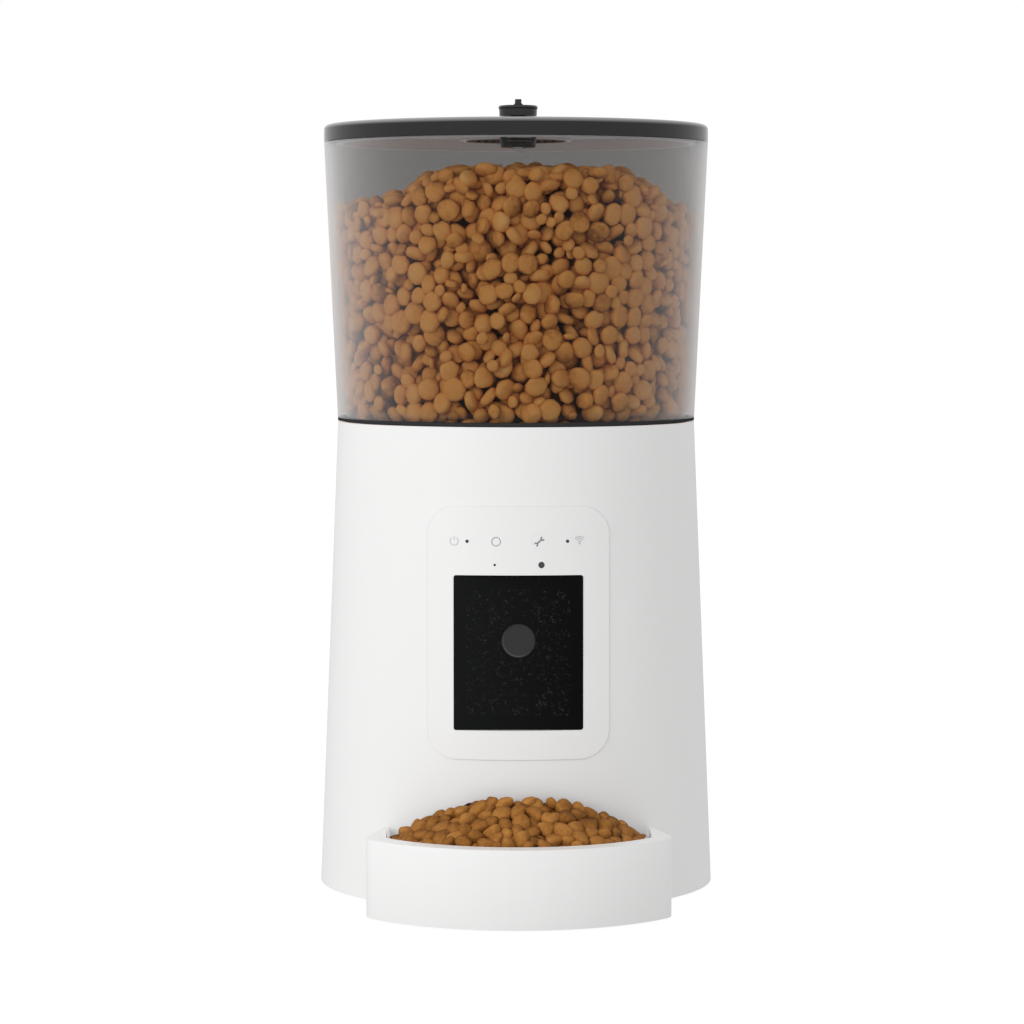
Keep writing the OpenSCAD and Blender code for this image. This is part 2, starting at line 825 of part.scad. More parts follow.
module light_sensor() {
    color("#17181b") on_axis() intersection() {
        translate([sensor_x, -base_r(sense_row_z) + 8, sense_row_z]) rod_y(0, 30, 1.6);
        base_cone(170, 210, -panel_proud);
    }
}

// ---- Tray and bowl ----

// The tray's outline, drawn in by inset on its outside and by back at the base. Outlines inside
// the rim run straight back, so the rim narrows towards the base.
module tray_outline(inset, back) {
    side_turn = inset > rim_w ? 0 : side_lean;
    corner = tray_corner_r - inset;
    reach = tray_front_r - tray_corner_r;
    join = [corner_x * (1 + corner / reach), corner_y + (corner_y + front_c) * corner / reach];
    side = [corner_x + corner * cos(side_turn), corner_y + corner * sin(side_turn)];
    rear = [side[0] - (-60 - side[1]) * tan(side_turn), -60];
    difference() {
        union() {
            intersection() {
                translate([0, -front_c]) circle(r = tray_front_r - inset);
                translate([-join[0], -200]) square([2 * join[0], 201 + join[1]]);
            }
            for (s = [-1, 1])
                translate([s * corner_x, corner_y]) circle(r = corner);
            polygon([join, side, rear, [-rear[0], rear[1]], [-side[0], side[1]], [-join[0], join[1]]]);
        }
        circle(r = tray_back_r + back);
    }
}

module tray_slice(z0, z1, inset, back) {
    translate([0, 0, z0]) linear_extrude(z1 - z0) tray_outline(inset, back);
}

module bowl_tray() {
    opening_inset = rim_w + 1.2;
    // a little wider than the opening, so that no sliver of the back wall is left
    low_wall_half = corner_x + tray_corner_r - opening_inset + 0.2;
    color("white") on_axis() difference() {
        union() {
            tray_slice(tray_low_z, tray_top_z, 0, 0);
            // tongue that slides into the base
            intersection() {
                box_at(-tongue_half_w, tongue_half_w, -112, -70, 6.4, 12);
                cylinder(h = 60, r = 112);
            }
        }
        tray_slice(8, tray_top_z + 1, 13, 3.2);
        tray_slice(ledge_z, tray_top_z + 1, opening_inset, 0.8);
        // behind the bowl the wall is low, so that food slides over it
        box_at(-low_wall_half, low_wall_half, -112, -80, ledge_z, tray_top_z + 1);
        // hollow underside
        tray_slice(tray_low_z - 1, 5, 2.6, 2.6);
        difference() {
            tray_slice(4, 33, 2.6, 2.6);
            tray_slice(3, 34, 10, 0);
        }
    }
    color("white") on_axis() for (p = tray_foot_places)
        difference() {
            cylinder_at(p[0], p[1], tray_low_z, 4, 8);
            cylinder_at(p[0], p[1], 0, 3.2, 6.1);
        }
}

tray_foot_places = [[-48, -118], [48, -118]];

module tray_feet() {
    color("#3d3e41") on_axis() for (p = tray_foot_places)
        cylinder_at(p[0], p[1], 0, 3.2, 6);
}

module steel_bowl() {
    wall = 0.9;
    color("silver") on_axis() {
        difference() {
            tray_slice(9, ledge_z + 1.2, 13.4, 3.6);
            tray_slice(9 + wall, ledge_z + 3, 13.4 + wall, 3.6 + wall);
        }
        difference() {
            tray_slice(ledge_z + 0.2, ledge_z + 1.2, rim_w + 1.5, 1.1);
            tray_slice(ledge_z, ledge_z + 3, 14, 4.2);
        }
    }
}

lid();
lid_seal();
desiccant_pack();
desiccant_cover();
lid_knob();
latch_tongue();
latch_screw();
hopper();
rotor();
rotor_shaft();
output_gear();
agitator();
idler_gear();
motor_pinion();
motor_shaft();
base_shell();
hopper_deck();
rotor_housing();
housing_floor();
portion_plate();
wiper_flaps();
chute();
food_sensors();
gearbox_case();
gearbox_cover();
gearbox_screws();
idler_pin();
shaft_bushes();
motor_can();
bottom_cover();
bottom_screws();
rubber_feet();
battery_door();
batteries();
battery_contacts();
control_panel();
camera_window();
camera_barrel();
camera_lens();
camera_board();
control_board();
tact_switches();
feed_button();
settings_button();
led_pipes();
microphone();
light_sensor();
main_board();
speaker();
power_inlet();
bowl_tray();
tray_feet();
steel_bowl();
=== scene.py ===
"""Looks of the automatic pet feeder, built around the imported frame. Lengths are in metres."""

import json
import math

import bmesh
import bpy
import numpy as np
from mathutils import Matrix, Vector


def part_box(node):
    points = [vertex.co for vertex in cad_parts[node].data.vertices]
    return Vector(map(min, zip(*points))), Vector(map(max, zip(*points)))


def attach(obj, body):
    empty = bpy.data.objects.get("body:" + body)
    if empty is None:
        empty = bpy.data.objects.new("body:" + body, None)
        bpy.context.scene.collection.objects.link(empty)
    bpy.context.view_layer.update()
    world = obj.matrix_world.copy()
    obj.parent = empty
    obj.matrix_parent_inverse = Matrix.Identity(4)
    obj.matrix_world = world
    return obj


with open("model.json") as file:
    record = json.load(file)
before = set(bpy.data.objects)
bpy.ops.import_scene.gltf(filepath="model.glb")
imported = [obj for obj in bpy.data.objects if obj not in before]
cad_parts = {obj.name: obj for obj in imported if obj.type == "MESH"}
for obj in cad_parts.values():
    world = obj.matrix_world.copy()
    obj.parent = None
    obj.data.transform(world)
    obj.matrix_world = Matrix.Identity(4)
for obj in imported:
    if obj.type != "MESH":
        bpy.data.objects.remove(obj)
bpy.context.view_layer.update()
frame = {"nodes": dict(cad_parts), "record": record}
nodes = frame["nodes"]
MM = 0.001

# ---- Driving dimensions: part boxes from the frame, the rest given ----

base_low, base_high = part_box("base_shell")
tank_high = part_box("hopper")[1]
bowl_low, bowl_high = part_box("steel_bowl")
panel_low, panel_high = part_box("control_panel")
lid_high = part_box("lid")[1]
window_low, window_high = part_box("camera_window")
feed_low, feed_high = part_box("feed_button")
tool_low, tool_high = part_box("settings_button")
pipes_low, pipes_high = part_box("led_pipes")

AXIS_Y = (base_low.y + base_high.y) / 2
BASE_SLOPE_R = 106 * MM
BASE_SLOPE_TALL = 250 * MM
SEAM_R = 96 * MM
SEAM_Z = base_high.z
TANK_TOP_R = 103 * MM
TANK_TOP_Z = tank_high.z
TANK_WALL = 2.5 * MM
PANEL_PROUD = 0.5 * MM
LINER_R = 97 * MM
LINER_TOP_Z = TANK_TOP_Z + 5.7 * MM
LID_EDGE_Z = TANK_TOP_Z + 9.5 * MM
LATCH_CUP_R = 11.5 * MM
# top of the dark band painted at the foot of the tank as painted shade
FOOT_SHADE_TOP_Z = SEAM_Z + 2.2 * MM


def tank_r(z):
    """Outside radius of the tank at height z."""
    return SEAM_R + (TANK_TOP_R - SEAM_R) * (z - SEAM_Z) / (TANK_TOP_Z - SEAM_Z)


def base_r(z):
    """Outside radius of the base at height z."""
    return BASE_SLOPE_R + (SEAM_R - BASE_SLOPE_R) * z / BASE_SLOPE_TALL


# ---- Meshes ----

def add_mesh(name, verts, faces, material, body):
    """A new piece from vertex and face lists, riding on a body."""
    mesh = bpy.data.meshes.new(name)
    mesh.from_pydata([tuple(v) for v in verts], [], [tuple(f) for f in faces])
    mesh.polygons.foreach_set("use_smooth", [True] * len(mesh.polygons))
    mesh.materials.append(material)
    mesh.update()
    piece = bpy.data.objects.new(name, mesh)
    bpy.context.scene.collection.objects.link(piece)
    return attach(piece, body)


def triangles_to_mesh(name, verts, tris, tones_and_shade, material, body):
    """A large triangle mesh with a tone for each vertex, riding on a body; for kibble the tone also carries
    painted shade.
    """
    mesh = bpy.data.meshes.new(name)
    mesh.vertices.add(len(verts))
    mesh.vertices.foreach_set("co", verts.astype(np.float32).ravel())
    mesh.loops.add(len(tris) * 3)
    mesh.loops.foreach_set("vertex_index", tris.astype(np.int32).ravel())
    mesh.polygons.add(len(tris))
    mesh.polygons.foreach_set("loop_start", np.arange(len(tris), dtype=np.int32) * 3)
    mesh.polygons.foreach_set("use_smooth", np.ones(len(tris), bool))
    mesh.update(calc_edges=True)
    tone_and_shade = mesh.attributes.new("tone_and_shade", "FLOAT", "POINT")
    tone_and_shade.data.foreach_set("value", tones_and_shade.astype(np.float32))
    mesh.materials.append(material)
    piece = bpy.data.objects.new(name, mesh)
    bpy.context.scene.collection.objects.link(piece)
    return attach(piece, body)


def unit_ball(level):
    """Vertices and triangles of a subdivided icosahedron of radius 1."""
    bm = bmesh.new()
    bmesh.ops.create_icosphere(bm, subdivisions=level, radius=1.0)
    verts = np.array([v.co[:] for v in bm.verts])
    tris = np.array([[v.index for v in f.verts] for f in bm.faces])
    bm.free()
    return verts, tris


# ---- Materials ----

class Paint:
    """A material around one Principled shader, with helpers that add procedural detail."""

    def __init__(self, name, rough=0.4, metal=0.0, **inputs):
        self.mat = bpy.data.materials.new(name)
        self.mat.use_nodes = True
        self.tree = self.mat.node_tree
        self.shader = self.tree.nodes["Principled BSDF"]
        self.output = self.tree.nodes["Material Output"]
        self.shader.inputs["Roughness"].default_value = rough
        self.shader.inputs["Metallic"].default_value = metal
        for key, value in inputs.items():
            self.shader.inputs[key.replace("_", " ")].default_value = value
        self.place = self.add("ShaderNodeTexCoord").outputs["Object"]

    def add(self, kind, links=(), **values):
        """A node with its sockets linked or set, and its properties set."""
        node = self.tree.nodes.new(kind)
        for key, value in values.items():
            setattr(node, key, value)
        for socket, value in links:
            if isinstance(value, bpy.types.NodeSocket):
                self.tree.links.new(value, node.inputs[socket])
            else:
                node.inputs[socket].default_value = value
        return node

    def to_shader(self, socket, value):
        """Links a value to one of the shader's sockets."""
        self.tree.links.new(value, self.shader.inputs[socket])

    def stretched(self, scale):
        """Object coordinates, stretched by a factor along each axis."""
        return self.add("ShaderNodeMapping", [("Vector", self.place), ("Scale", scale)]).outputs[0]

    def noise(self, scale, detail=2.0, place=None):
        """Noise from 0 to 1 with this many features in a metre."""
        links = [("Vector", place or self.place), ("Scale", scale), ("Detail", detail)]
        return self.add("ShaderNodeTexNoise", links).outputs["Fac"]

    def cells(self, scale):
        """Distance to the nearest of this many scattered points in a metre."""
        links = [("Vector", self.place), ("Scale", scale)]
        return self.add("ShaderNodeTexVoronoi", links).outputs["Distance"]

    def math(self, operation, a, b=0.0, clamp=False):
        """One arithmetic step on one or two values."""
        node = self.add("ShaderNodeMath", [(0, a), (1, b)], operation=operation, use_clamp=clamp)
        return node.outputs[0]

    def span(self, value, low_in, high_in, low_out, high_out):
        """Maps one range of a value to another, clamped."""
        links = [("Value", value), ("From Min", low_in), ("From Max", high_in)]
        links += [("To Min", low_out), ("To Max", high_out)]
        return self.add("ShaderNodeMapRange", links).outputs["Result"]

    def ramp(self, value, stops):
        """Colour ramp through (place, colour) stops."""
        node = self.add("ShaderNodeValToRGB", [("Fac", value)])
        ends = node.color_ramp.elements
        while len(ends) < len(stops):
            ends.new(0.5)
        for end, (place, colour) in zip(ends, stops):
            end.position = place
            end.color = (*colour, 1.0)
        return node.outputs["Color"]

    def blend(self, value, a, b):
        """Colour a where value is 0 and colour b where it is 1."""
        node = self.add("ShaderNodeMix", data_type="RGBA")
        for socket, item in ((0, value), (6, a), (7, b)):
            if isinstance(item, bpy.types.NodeSocket):
                self.tree.links.new(item, node.inputs[socket])
            elif socket == 0:
                node.inputs[0].default_value = item
            else:
                node.inputs[socket].default_value = (*item, 1.0)
        return node.outputs[2]

    def coordinate(self, axis):
        """One of the three object coordinates, in metres."""
        return self.add("ShaderNodeSeparateXYZ", [(0, self.place)]).outputs[axis]

    def distance(self, u, v, at_u, at_v):
        """Distance of the point (u, v) from (at_u, at_v)."""
        place = self.add("ShaderNodeCombineXYZ", [(0, u), (1, v)]).outputs[0]
        links = [(0, place), (1, (at_u, at_v, 0.0))]
        return self.add("ShaderNodeVectorMath", links, operation="DISTANCE").outputs["Value"]

    def bump(self, height, depth):
        """Fine relief of this depth in metres."""
        node = self.add("ShaderNodeBump", [("Height", height), ("Distance", depth), ("Strength", 1.0)])
        self.to_shader("Normal", node.outputs[0])


def scaled(colour, factor):
    """A lighter or darker colour."""
    return tuple(min(1.0, c * factor) for c in colour)


def moulded(name, colour, rough, spread=0.03, grain=2600, depth=0.00001, **inputs):
    """Moulded plastic: faint cloudy colour, uneven gloss and a fine grain."""
    p = Paint(name, rough, **inputs)
    cloud = p.noise(35, 3)
    p.to_shader("Base Color", p.blend(cloud, scaled(colour, 1 - spread), scaled(colour, 1 + spread)))
    p.to_shader("Roughness", p.span(p.noise(160, 4), 0.3, 0.7, rough - 0.04, rough + 0.04))
    p.bump(p.noise(grain, 3), depth)
    return p.mat


def brushed(name, colour, rough, along, depth=0.000012):
    """Metal with fine brush lines along one axis (a factor for each axis)."""
    p = Paint(name, rough, 1.0, Anisotropic=0.4)
    lines = p.noise(1, 4, p.stretched(along))
    p.to_shader("Base Color", p.blend(lines, scaled(colour, 0.9), scaled(colour, 1.06)))
    p.to_shader("Roughness", p.span(lines, 0.25, 0.75, rough - 0.07, rough + 0.09))
    p.bump(lines, depth)
    return p.mat


def smoked(name, tint, gloss=0.03):
    """See-through smoked plastic: each wall takes its share of the tint; grazing parts turn to a white
    diffuse haze, which is a painted reflection of the bright surroundings, and a band of painted shade lies
    along the foot.
    """
    p = Paint(name)
    p.tree.nodes.remove(p.shader)
    through = p.add("ShaderNodeBsdfTransparent", [("Color", (*tint, 1.0))])
    mirror = p.add("ShaderNodeBsdfGlossy", [("Color", (1, 1, 1, 1)), ("Roughness", gloss)])
    # painted reflection: a white diffuse haze, mixed in towards grazing angles, stands for the reflection of
    # the bright surroundings
    painted_reflection_bsdf = p.add("ShaderNodeBsdfDiffuse", [("Color", (0.92, 0.92, 0.93, 1))])
    facing = p.add("ShaderNodeLayerWeight", [("Blend", 0.5)]).outputs["Facing"]
    fresnel = p.math("ADD", p.math("MULTIPLY", p.math("POWER", facing, 5.0), 0.5), 0.006)
    painted_reflection_share = p.math("MULTIPLY", p.math("POWER", facing, 2.0), 0.46)

    def mixed(share, first, second):
        sockets = [(0, share), (1, first.outputs[0]), (2, second.outputs[0])]
        return p.add("ShaderNodeMixShader", sockets)

    surface = mixed(painted_reflection_share, mixed(fresnel, through, mirror), painted_reflection_bsdf)
    # painted shade: the lowest strip of the tank turns to dark opaque diffuse, standing for the shaded gap
    # and seam at its foot
    painted_foot_shade = p.add("ShaderNodeBsdfDiffuse", [("Color", (0.035, 0.035, 0.037, 1))])
    foot = p.math("LESS_THAN", p.coordinate(2), FOOT_SHADE_TOP_Z)
    clear = p.add("ShaderNodeBsdfTransparent", [("Color", (0.95, 0.95, 0.95, 1))])
    seen = p.add("ShaderNodeLightPath").outputs["Is Camera Ray"]
    whole = mixed(seen, clear, mixed(foot, surface, painted_foot_shade))
    p.tree.links.new(whole.outputs[0], p.output.inputs["Surface"])
    return p.mat


def window_black():
    """Flat black window with sparse grey speckles away from its edges; its black carries painted shading,
    lighter on the lamp's left side.
    """
    p = Paint("window_black", 0.12, Specular_IOR_Level=0.05)
    plain_side, plain_end = 6.5 * MM, 7.5 * MM
    centre = (window_low + window_high) / 2
    half_w = (window_high.x - window_low.x) / 2
    half_h = (window_high.z - window_low.z) / 2
    dots = p.cells(1500)
    size = p.span(p.noise(420, 2), 0.4, 0.7, 0.0, 0.42)
    near = p.math("LESS_THAN", dots, size)
    from_mid_x = p.math("ABSOLUTE", p.math("SUBTRACT", p.coordinate(0), centre.x))
    from_mid_z = p.math("ABSOLUTE", p.math("SUBTRACT", p.coordinate(2), centre.z))
    inside_x = p.math("LESS_THAN", from_mid_x, half_w - plain_side)
    inside_z = p.math("LESS_THAN", from_mid_z, half_h - plain_end)
    inside = p.math("MULTIPLY", inside_x, inside_z)
    speckles = p.math("MULTIPLY", near, inside)
    # painted shading: the black ground runs from lighter on the left, the lamp's side, to darker on the right
    across = p.span(p.coordinate(0), window_low.x, window_high.x, 0, 1)
    painted_shade_ground = p.blend(across, (0.008, 0.0085, 0.0085), (0.0025, 0.0025, 0.0026))
    p.to_shader("Base Color", p.blend(speckles, painted_shade_ground, (0.036, 0.036, 0.038)))
    p.to_shader("Roughness", p.span(p.noise(300, 3), 0.3, 0.7, 0.08, 0.16))
    return p.mat


def light_pipe():
    """Dark smoked rod that ends in a status light."""
    p = Paint("light_pipe", 0.25)
    p.to_shader("Base Color", p.blend(p.noise(900, 2), (0.035, 0.037, 0.042), (0.055, 0.057, 0.062)))
    p.to_shader("Roughness", p.span(p.noise(700, 2), 0.3, 0.7, 0.2, 0.32))
    return p.mat


def board():
    """Circuit board: green lacquer over paler copper traces."""
    p = Paint("board_green", 0.35)
    bricks = p.add("ShaderNodeTexBrick", [("Vector", p.place), ("Scale", 260), ("Mortar Size", 0.06)])
    traces = p.span(bricks.outputs["Fac"], 0, 1, 0, 1)
    pads = p.math("LESS_THAN", p.cells(330), 0.16)
    green = p.blend(traces, (0.012, 0.11, 0.045), (0.03, 0.2, 0.08))
    p.to_shader("Base Color", p.blend(pads, green, (0.62, 0.58, 0.42)))
    p.to_shader("Roughness", p.span(p.noise(220, 3), 0.3, 0.7, 0.3, 0.42))
    p.bump(traces, 0.00003)
    return p.mat


def cell_wrap():
    """Battery sleeves: dark wrap with a warm band near one end."""
    p = Paint("cell_wrap", 0.32)
    low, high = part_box("batteries")
    band_share = 0.28
    band = p.math("GREATER_THAN", p.coordinate(0), high.x - band_share * (high.x - low.x))
    cloud = p.blend(p.noise(60, 3), (0.03, 0.03, 0.035), (0.05, 0.05, 0.055))
    p.to_shader("Base Color", p.blend(band, cloud, (0.55, 0.27, 0.06)))
    p.to_shader("Roughness", p.span(p.noise(180, 3), 0.3, 0.7, 0.26, 0.4))
    return p.mat


def desiccant():
    """Non-woven bag of drying beads."""
    p = Paint("desiccant", 0.85)
    beads = p.cells(420)
    p.to_shader("Base Color", p.blend(p.noise(900, 4), (0.78, 0.75, 0.68), (0.9, 0.88, 0.82)))
    p.to_shader("Roughness", p.span(p.noise(400, 2), 0.3, 0.7, 0.78, 0.92))
    p.bump(beads, 0.0006)
    return p.mat


def kibble_paint(name, dark, mid, light, rough=0.78, relief=0.0007):
    """Baked kibble: each piece has its own tone, darkened by painted shade where it turns from the light,
    with crumbs, pits and a mealy surface.
    """
    p = Paint(name, rough, Specular_IOR_Level=0.15)
    tone_and_shade = p.add("ShaderNodeAttribute", attribute_name="tone_and_shade").outputs["Fac"]
    mottle = p.span(p.noise(420, 5), 0.25, 0.75, -0.17, 0.17)
    value = p.math("ADD", tone_and_shade, mottle, clamp=True)
    colour = p.ramp(value, [(0.0, dark), (0.45, mid), (1.0, light)])
    crumbs = p.math("LESS_THAN", p.cells(900), 0.16)
    p.to_shader("Base Color", p.blend(p.math("MULTIPLY", crumbs, 0.5), colour, scaled(light, 1.15)))
    p.to_shader("Roughness", p.span(p.noise(600, 3), 0.3, 0.7, rough - 0.1, rough + 0.08))
    coarse = p.noise(520, 4)
    fine = p.noise(2300, 4)
    p.bump(p.math("ADD", p.math("MULTIPLY", coarse, 0.6), p.math("MULTIPLY", fine, 0.4)), relief)
    return p.mat


def lid_black():
    """Gloss black lid with a painted highlight along its top edge and a pale liner inside, around the latch's
    dark cup; the liner's pale grey is partly its own colour and partly painted light, and it glows faintly as
    painted light.
    """
    p = Paint("lid_black", 0.13, Specular_IOR_Level=0.38)
    knob_low, knob_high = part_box("lid_knob")
    z = p.coordinate(2)
    out = p.distance(p.coordinate(0), p.coordinate(1), 0.0, AXIS_Y)
    off_cup = p.distance(p.coordinate(0), p.coordinate(1), 0.0, (knob_low.y + knob_high.y) / 2)
    inside = p.math("LESS_THAN", out, LINER_R)
    below = p.math("LESS_THAN", z, LINER_TOP_Z)
    clear_of_cup = p.math("GREATER_THAN", off_cup, LATCH_CUP_R)
    liner_with_painted_glow = p.math("MULTIPLY", p.math("MULTIPLY", inside, below), clear_of_cup)
    at_rim = p.math("GREATER_THAN", out, lid_high.x - 1.8 * MM)
    # painted highlight: a light grey band along the rounded top edge stands for the reflection of the bright
    # sky there
    painted_edge_highlight = p.math("MULTIPLY", p.span(z, LID_EDGE_Z - 2.4 * MM, LID_EDGE_Z - 0.4 * MM, 0, 1), at_rim)
    black = p.blend(p.noise(35, 3), (0.0095, 0.0095, 0.01), (0.012, 0.012, 0.0125))
    outside = p.blend(painted_edge_highlight, black, (0.33, 0.33, 0.34))
    # painted light: the liner's pale grey is lifted above its own colour, and a faint glow lightens it where
    # it sits in shade
    p.to_shader("Base Color", p.blend(liner_with_painted_glow, outside, (0.72, 0.73, 0.76)))
    p.shader.inputs["Emission Color"].default_value = (0.93, 0.97, 1.0, 1.0)
    p.to_shader("Emission Strength", p.math("MULTIPLY", liner_with_painted_glow, 0.15))
    p.to_shader("Roughness", p.span(p.noise(160, 4), 0.3, 0.7, 0.1, 0.16))
    return p.mat


def lens_grey():
    """Grey lens with a painted highlight on its lower-left rim, black where its barrel meets the window."""
    p = Paint("lens_grey", 0.35, Specular_IOR_Level=0.3)
    glass_r = 8.35 * MM
    low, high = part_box("camera_lens")
    cx, cz = (low.x + high.x) / 2, (low.z + high.z) / 2
    x, z = p.coordinate(0), p.coordinate(2)
    out = p.distance(x, z, cx, cz)
    rim = p.span(out, 7.3 * MM, 8.0 * MM, 0, 1)
    # painted highlight: the rim is painted lighter towards the lower left
    low_left = p.math("ADD", p.math("MULTIPLY", p.math("SUBTRACT", x, cx), -0.6),
                      p.math("MULTIPLY", p.math("SUBTRACT", z, cz), -0.8))
    painted_rim_highlight = p.math("MULTIPLY", rim, p.span(low_left, 0.0, 8 * MM, 0.1, 1))
    face = p.blend(p.noise(240, 3), (0.021, 0.021, 0.022), (0.027, 0.027, 0.028))
    glass = p.blend(painted_rim_highlight, face, (0.075, 0.075, 0.077))
    barrel = p.math("GREATER_THAN", out, glass_r)
    p.to_shader("Base Color", p.blend(barrel, glass, (0.0045, 0.0045, 0.0048)))
    p.to_shader("Roughness", p.span(p.noise(300, 3), 0.3, 0.7, 0.3, 0.4))
    return p.mat


WHITE_GRAIN = 0.000002
materials = {
    "lid_black": lid_black(),
    "knob_black": moulded("knob_black", (0.012, 0.0125, 0.014), 0.24, spread=0.08),
    "seal_grey": moulded("seal_grey", (0.05, 0.05, 0.053), 0.6, spread=0.06),
    "desiccant": desiccant(),
    "smoked_clear": smoked("smoked_clear", (0.62, 0.615, 0.61)),
    "shell_white": moulded("shell_white", (0.84, 0.84, 0.835), 0.34, spread=0.006, depth=WHITE_GRAIN),
    "tray_white": moulded("tray_white", (0.85, 0.85, 0.845), 0.34, spread=0.006, depth=WHITE_GRAIN),
    "inner_white": moulded("inner_white", (0.75, 0.75, 0.73), 0.45, spread=0.02),
    "inner_grey": moulded("inner_grey", (0.3, 0.31, 0.32), 0.5, spread=0.04),
    "gear_nylon": moulded("gear_nylon", (0.8, 0.78, 0.7), 0.4, spread=0.02),
    "steel": brushed("steel", (0.72, 0.72, 0.73), 0.26, (25, 2200, 2200)),
    "screw_steel": brushed("screw_steel", (0.6, 0.6, 0.62), 0.3, (900, 900, 900)),
    "bronze": brushed("bronze", (0.6, 0.4, 0.2), 0.42, (800, 800, 800)),
    "motor_steel": brushed("motor_steel", (0.55, 0.55, 0.56), 0.33, (700, 700, 60)),
    "window_black": window_black(),
    "lens_grey": lens_grey(),
    "board_green": board(),
    "dark_plastic": moulded("dark_plastic", (0.025, 0.025, 0.027), 0.4, spread=0.08),
    "rubber_dark": moulded("rubber_dark", (0.035, 0.035, 0.037), 0.85, spread=0.1, depth=0.00004),
    "cell_wrap": cell_wrap(),
    "light_pipe": light_pipe(),
}
for row in frame["record"]["subparts"]:
    cad = nodes[row["node"]]
    cad.data.materials.clear()
    cad.data.materials.append(materials[row["material_slot"]])


def softened(node, width):
    """Rounds the sharp edges of a CAD node with a small bevel."""
    cad = nodes[node]
    weld = cad.modifiers.new("weld", "WELD")
    weld.merge_threshold = 0.01 * MM
    bevel = cad.modifiers.new("bevel", "BEVEL")
    bevel.width = width
    bevel.segments = 3
    bevel.limit_method = "ANGLE"
    bevel.angle_limit = math.radians(40)
    bevel.harden_normals = True


softened("bowl_tray", 1.2 * MM)

# ---- Kibble ----

rng = np.random.default_rng(11)
CREVICE_SHADE = 0.42
KIBBLE_BEND = 6
SPREAD_ROUNDS = 110


def frames_for(normals, tilt, edge_share):
    """Random right-handed frames whose third axis leans off the given normals by about tilt radians."""
    count = len(normals)
    lean = np.abs(rng.normal(0, tilt, count))
    on_edge = rng.random(count) < edge_share
    lean[on_edge] = rng.uniform(0.8, 1.5, on_edge.sum())
    help_axis = rng.normal(size=(count, 3))
    side = np.cross(normals, help_axis)
    side /= np.linalg.norm(side, axis=1, keepdims=True)
    axis = normals * np.cos(lean)[:, None] + side * np.sin(lean)[:, None]
    first = np.cross(axis, rng.normal(size=(count, 3)))
    first /= np.linalg.norm(first, axis=1, keepdims=True)
    second = np.cross(axis, first)
    return np.stack([first, second, axis], axis=2), lean


def kibble_mesh(name, centres, frames, halves, lobes, bends, level, paint, body, lit_way, press=None):
    """Rounded pieces of baked food, one for each centre, with painted shade darkening them where they turn
    away from the given lit direction.
    """
    ball, tris = unit_ball(level)
    count = len(centres)
    x, y, z = (np.broadcast_to(ball[:, k], (count, len(ball))) for k in range(3))
    flatness = rng.uniform(2.5, 3.6, (count, 1))
    around = np.hypot(x, y)
    size = (around ** flatness + np.abs(z) ** flatness) ** (1 / flatness)
    angle = np.arctan2(y, x)
    lobe_turn = rng.uniform(0, 2 * math.pi, (count, 1))
    outline = 1 + lobes[:, 1:2] * np.cos(lobes[:, 0:1] * angle + lobe_turn)
    points = np.stack([x * outline, y * outline, z], axis=2) / size[..., None]
    for wave in (2.2, 3.7, 6.1):
        way = rng.normal(size=(count, 1, 3))
        phase = rng.uniform(0, 2 * math.pi, (count, 1))
        ripple = np.sin(wave * (points * way).sum(2) + phase) * 0.075 / wave
        points = points * (1 + ripple[..., None])
    points = points * halves[:, None, :]
    points[..., 1] += bends[:, None] * (points[..., 0] ** 2 - halves[:, 0:1] ** 2 / 3)
    points = np.einsum("nij,nvj->nvi", frames, points)
    facing = (points * lit_way[:, None, :]).sum(2)
    facing /= np.abs(facing).max(1, keepdims=True)
    verts = (points + centres[:, None, :]).reshape(-1, 3)
    if press:
        verts = press(verts)
    all_tris = (tris[None] + np.arange(count)[:, None, None] * len(ball)).reshape(-1, 3)
    # painted shade: the tone falls where a piece turns away from the lit direction, darkening its rim and
    # underside as crevice shade
    tones_and_shade = rng.normal(0.5, 0.13, (count, 1)) + 0.14 - CREVICE_SHADE * (1 - facing)
    return triangles_to_mesh(name, verts, all_tris, np.clip(tones_and_shade, 0, 1).ravel(), paint, body)


def relaxed(points, radii, keep_in, wrap=0.0):
    """Pushes overlapping discs or balls apart, keeping them inside a region."""
    for _ in range(SPREAD_ROUNDS):
        gap = points[:, None, :] - points[None, :, :]
        if wrap:
            gap[..., 0] -= wrap * np.round(gap[..., 0] / wrap)
        far = np.sqrt((gap ** 2).sum(2)) + 1e-9
        want = radii[:, None] + radii[None, :]
        push = np.clip(want - far, 0, None)
        np.fill_diagonal(push, 0)
        points = points + (gap / far[..., None] * (push * 0.32)[..., None]).sum(1)
        points = keep_in(points)
    return points


def disc_sizes(count):
    """Half sizes of the tank's kibble: mostly round tablets, some of them small."""
    pick = rng.random(count)
    radius = np.where(pick < 0.6, rng.normal(5.7, 0.4, count), rng.normal(4.6, 0.5, count))
    radius = np.where(pick > 0.82, rng.normal(3.4, 0.35, count), radius) * MM
    oval = rng.uniform(0.82, 1.0, count)
    thick = np.minimum(radius * rng.uniform(0.42, 0.56, count), 2.9 * MM)
    return np.stack([radius, radius * oval, thick], axis=1)


def disc_lobes(count):
    """Number and depth of the waves in each round piece's outline."""
    return np.stack([rng.choice([2.0, 3.0, 5.0], count), rng.uniform(0, 0.045, count)], axis=1)


FUNNEL_LOW_R, FUNNEL_LOW_Z = 55.6 * MM, 199 * MM
FUNNEL_TOP_R, FUNNEL_TOP_Z = 93.2 * MM, 256 * MM
PRESS_GAP = 0.35 * MM


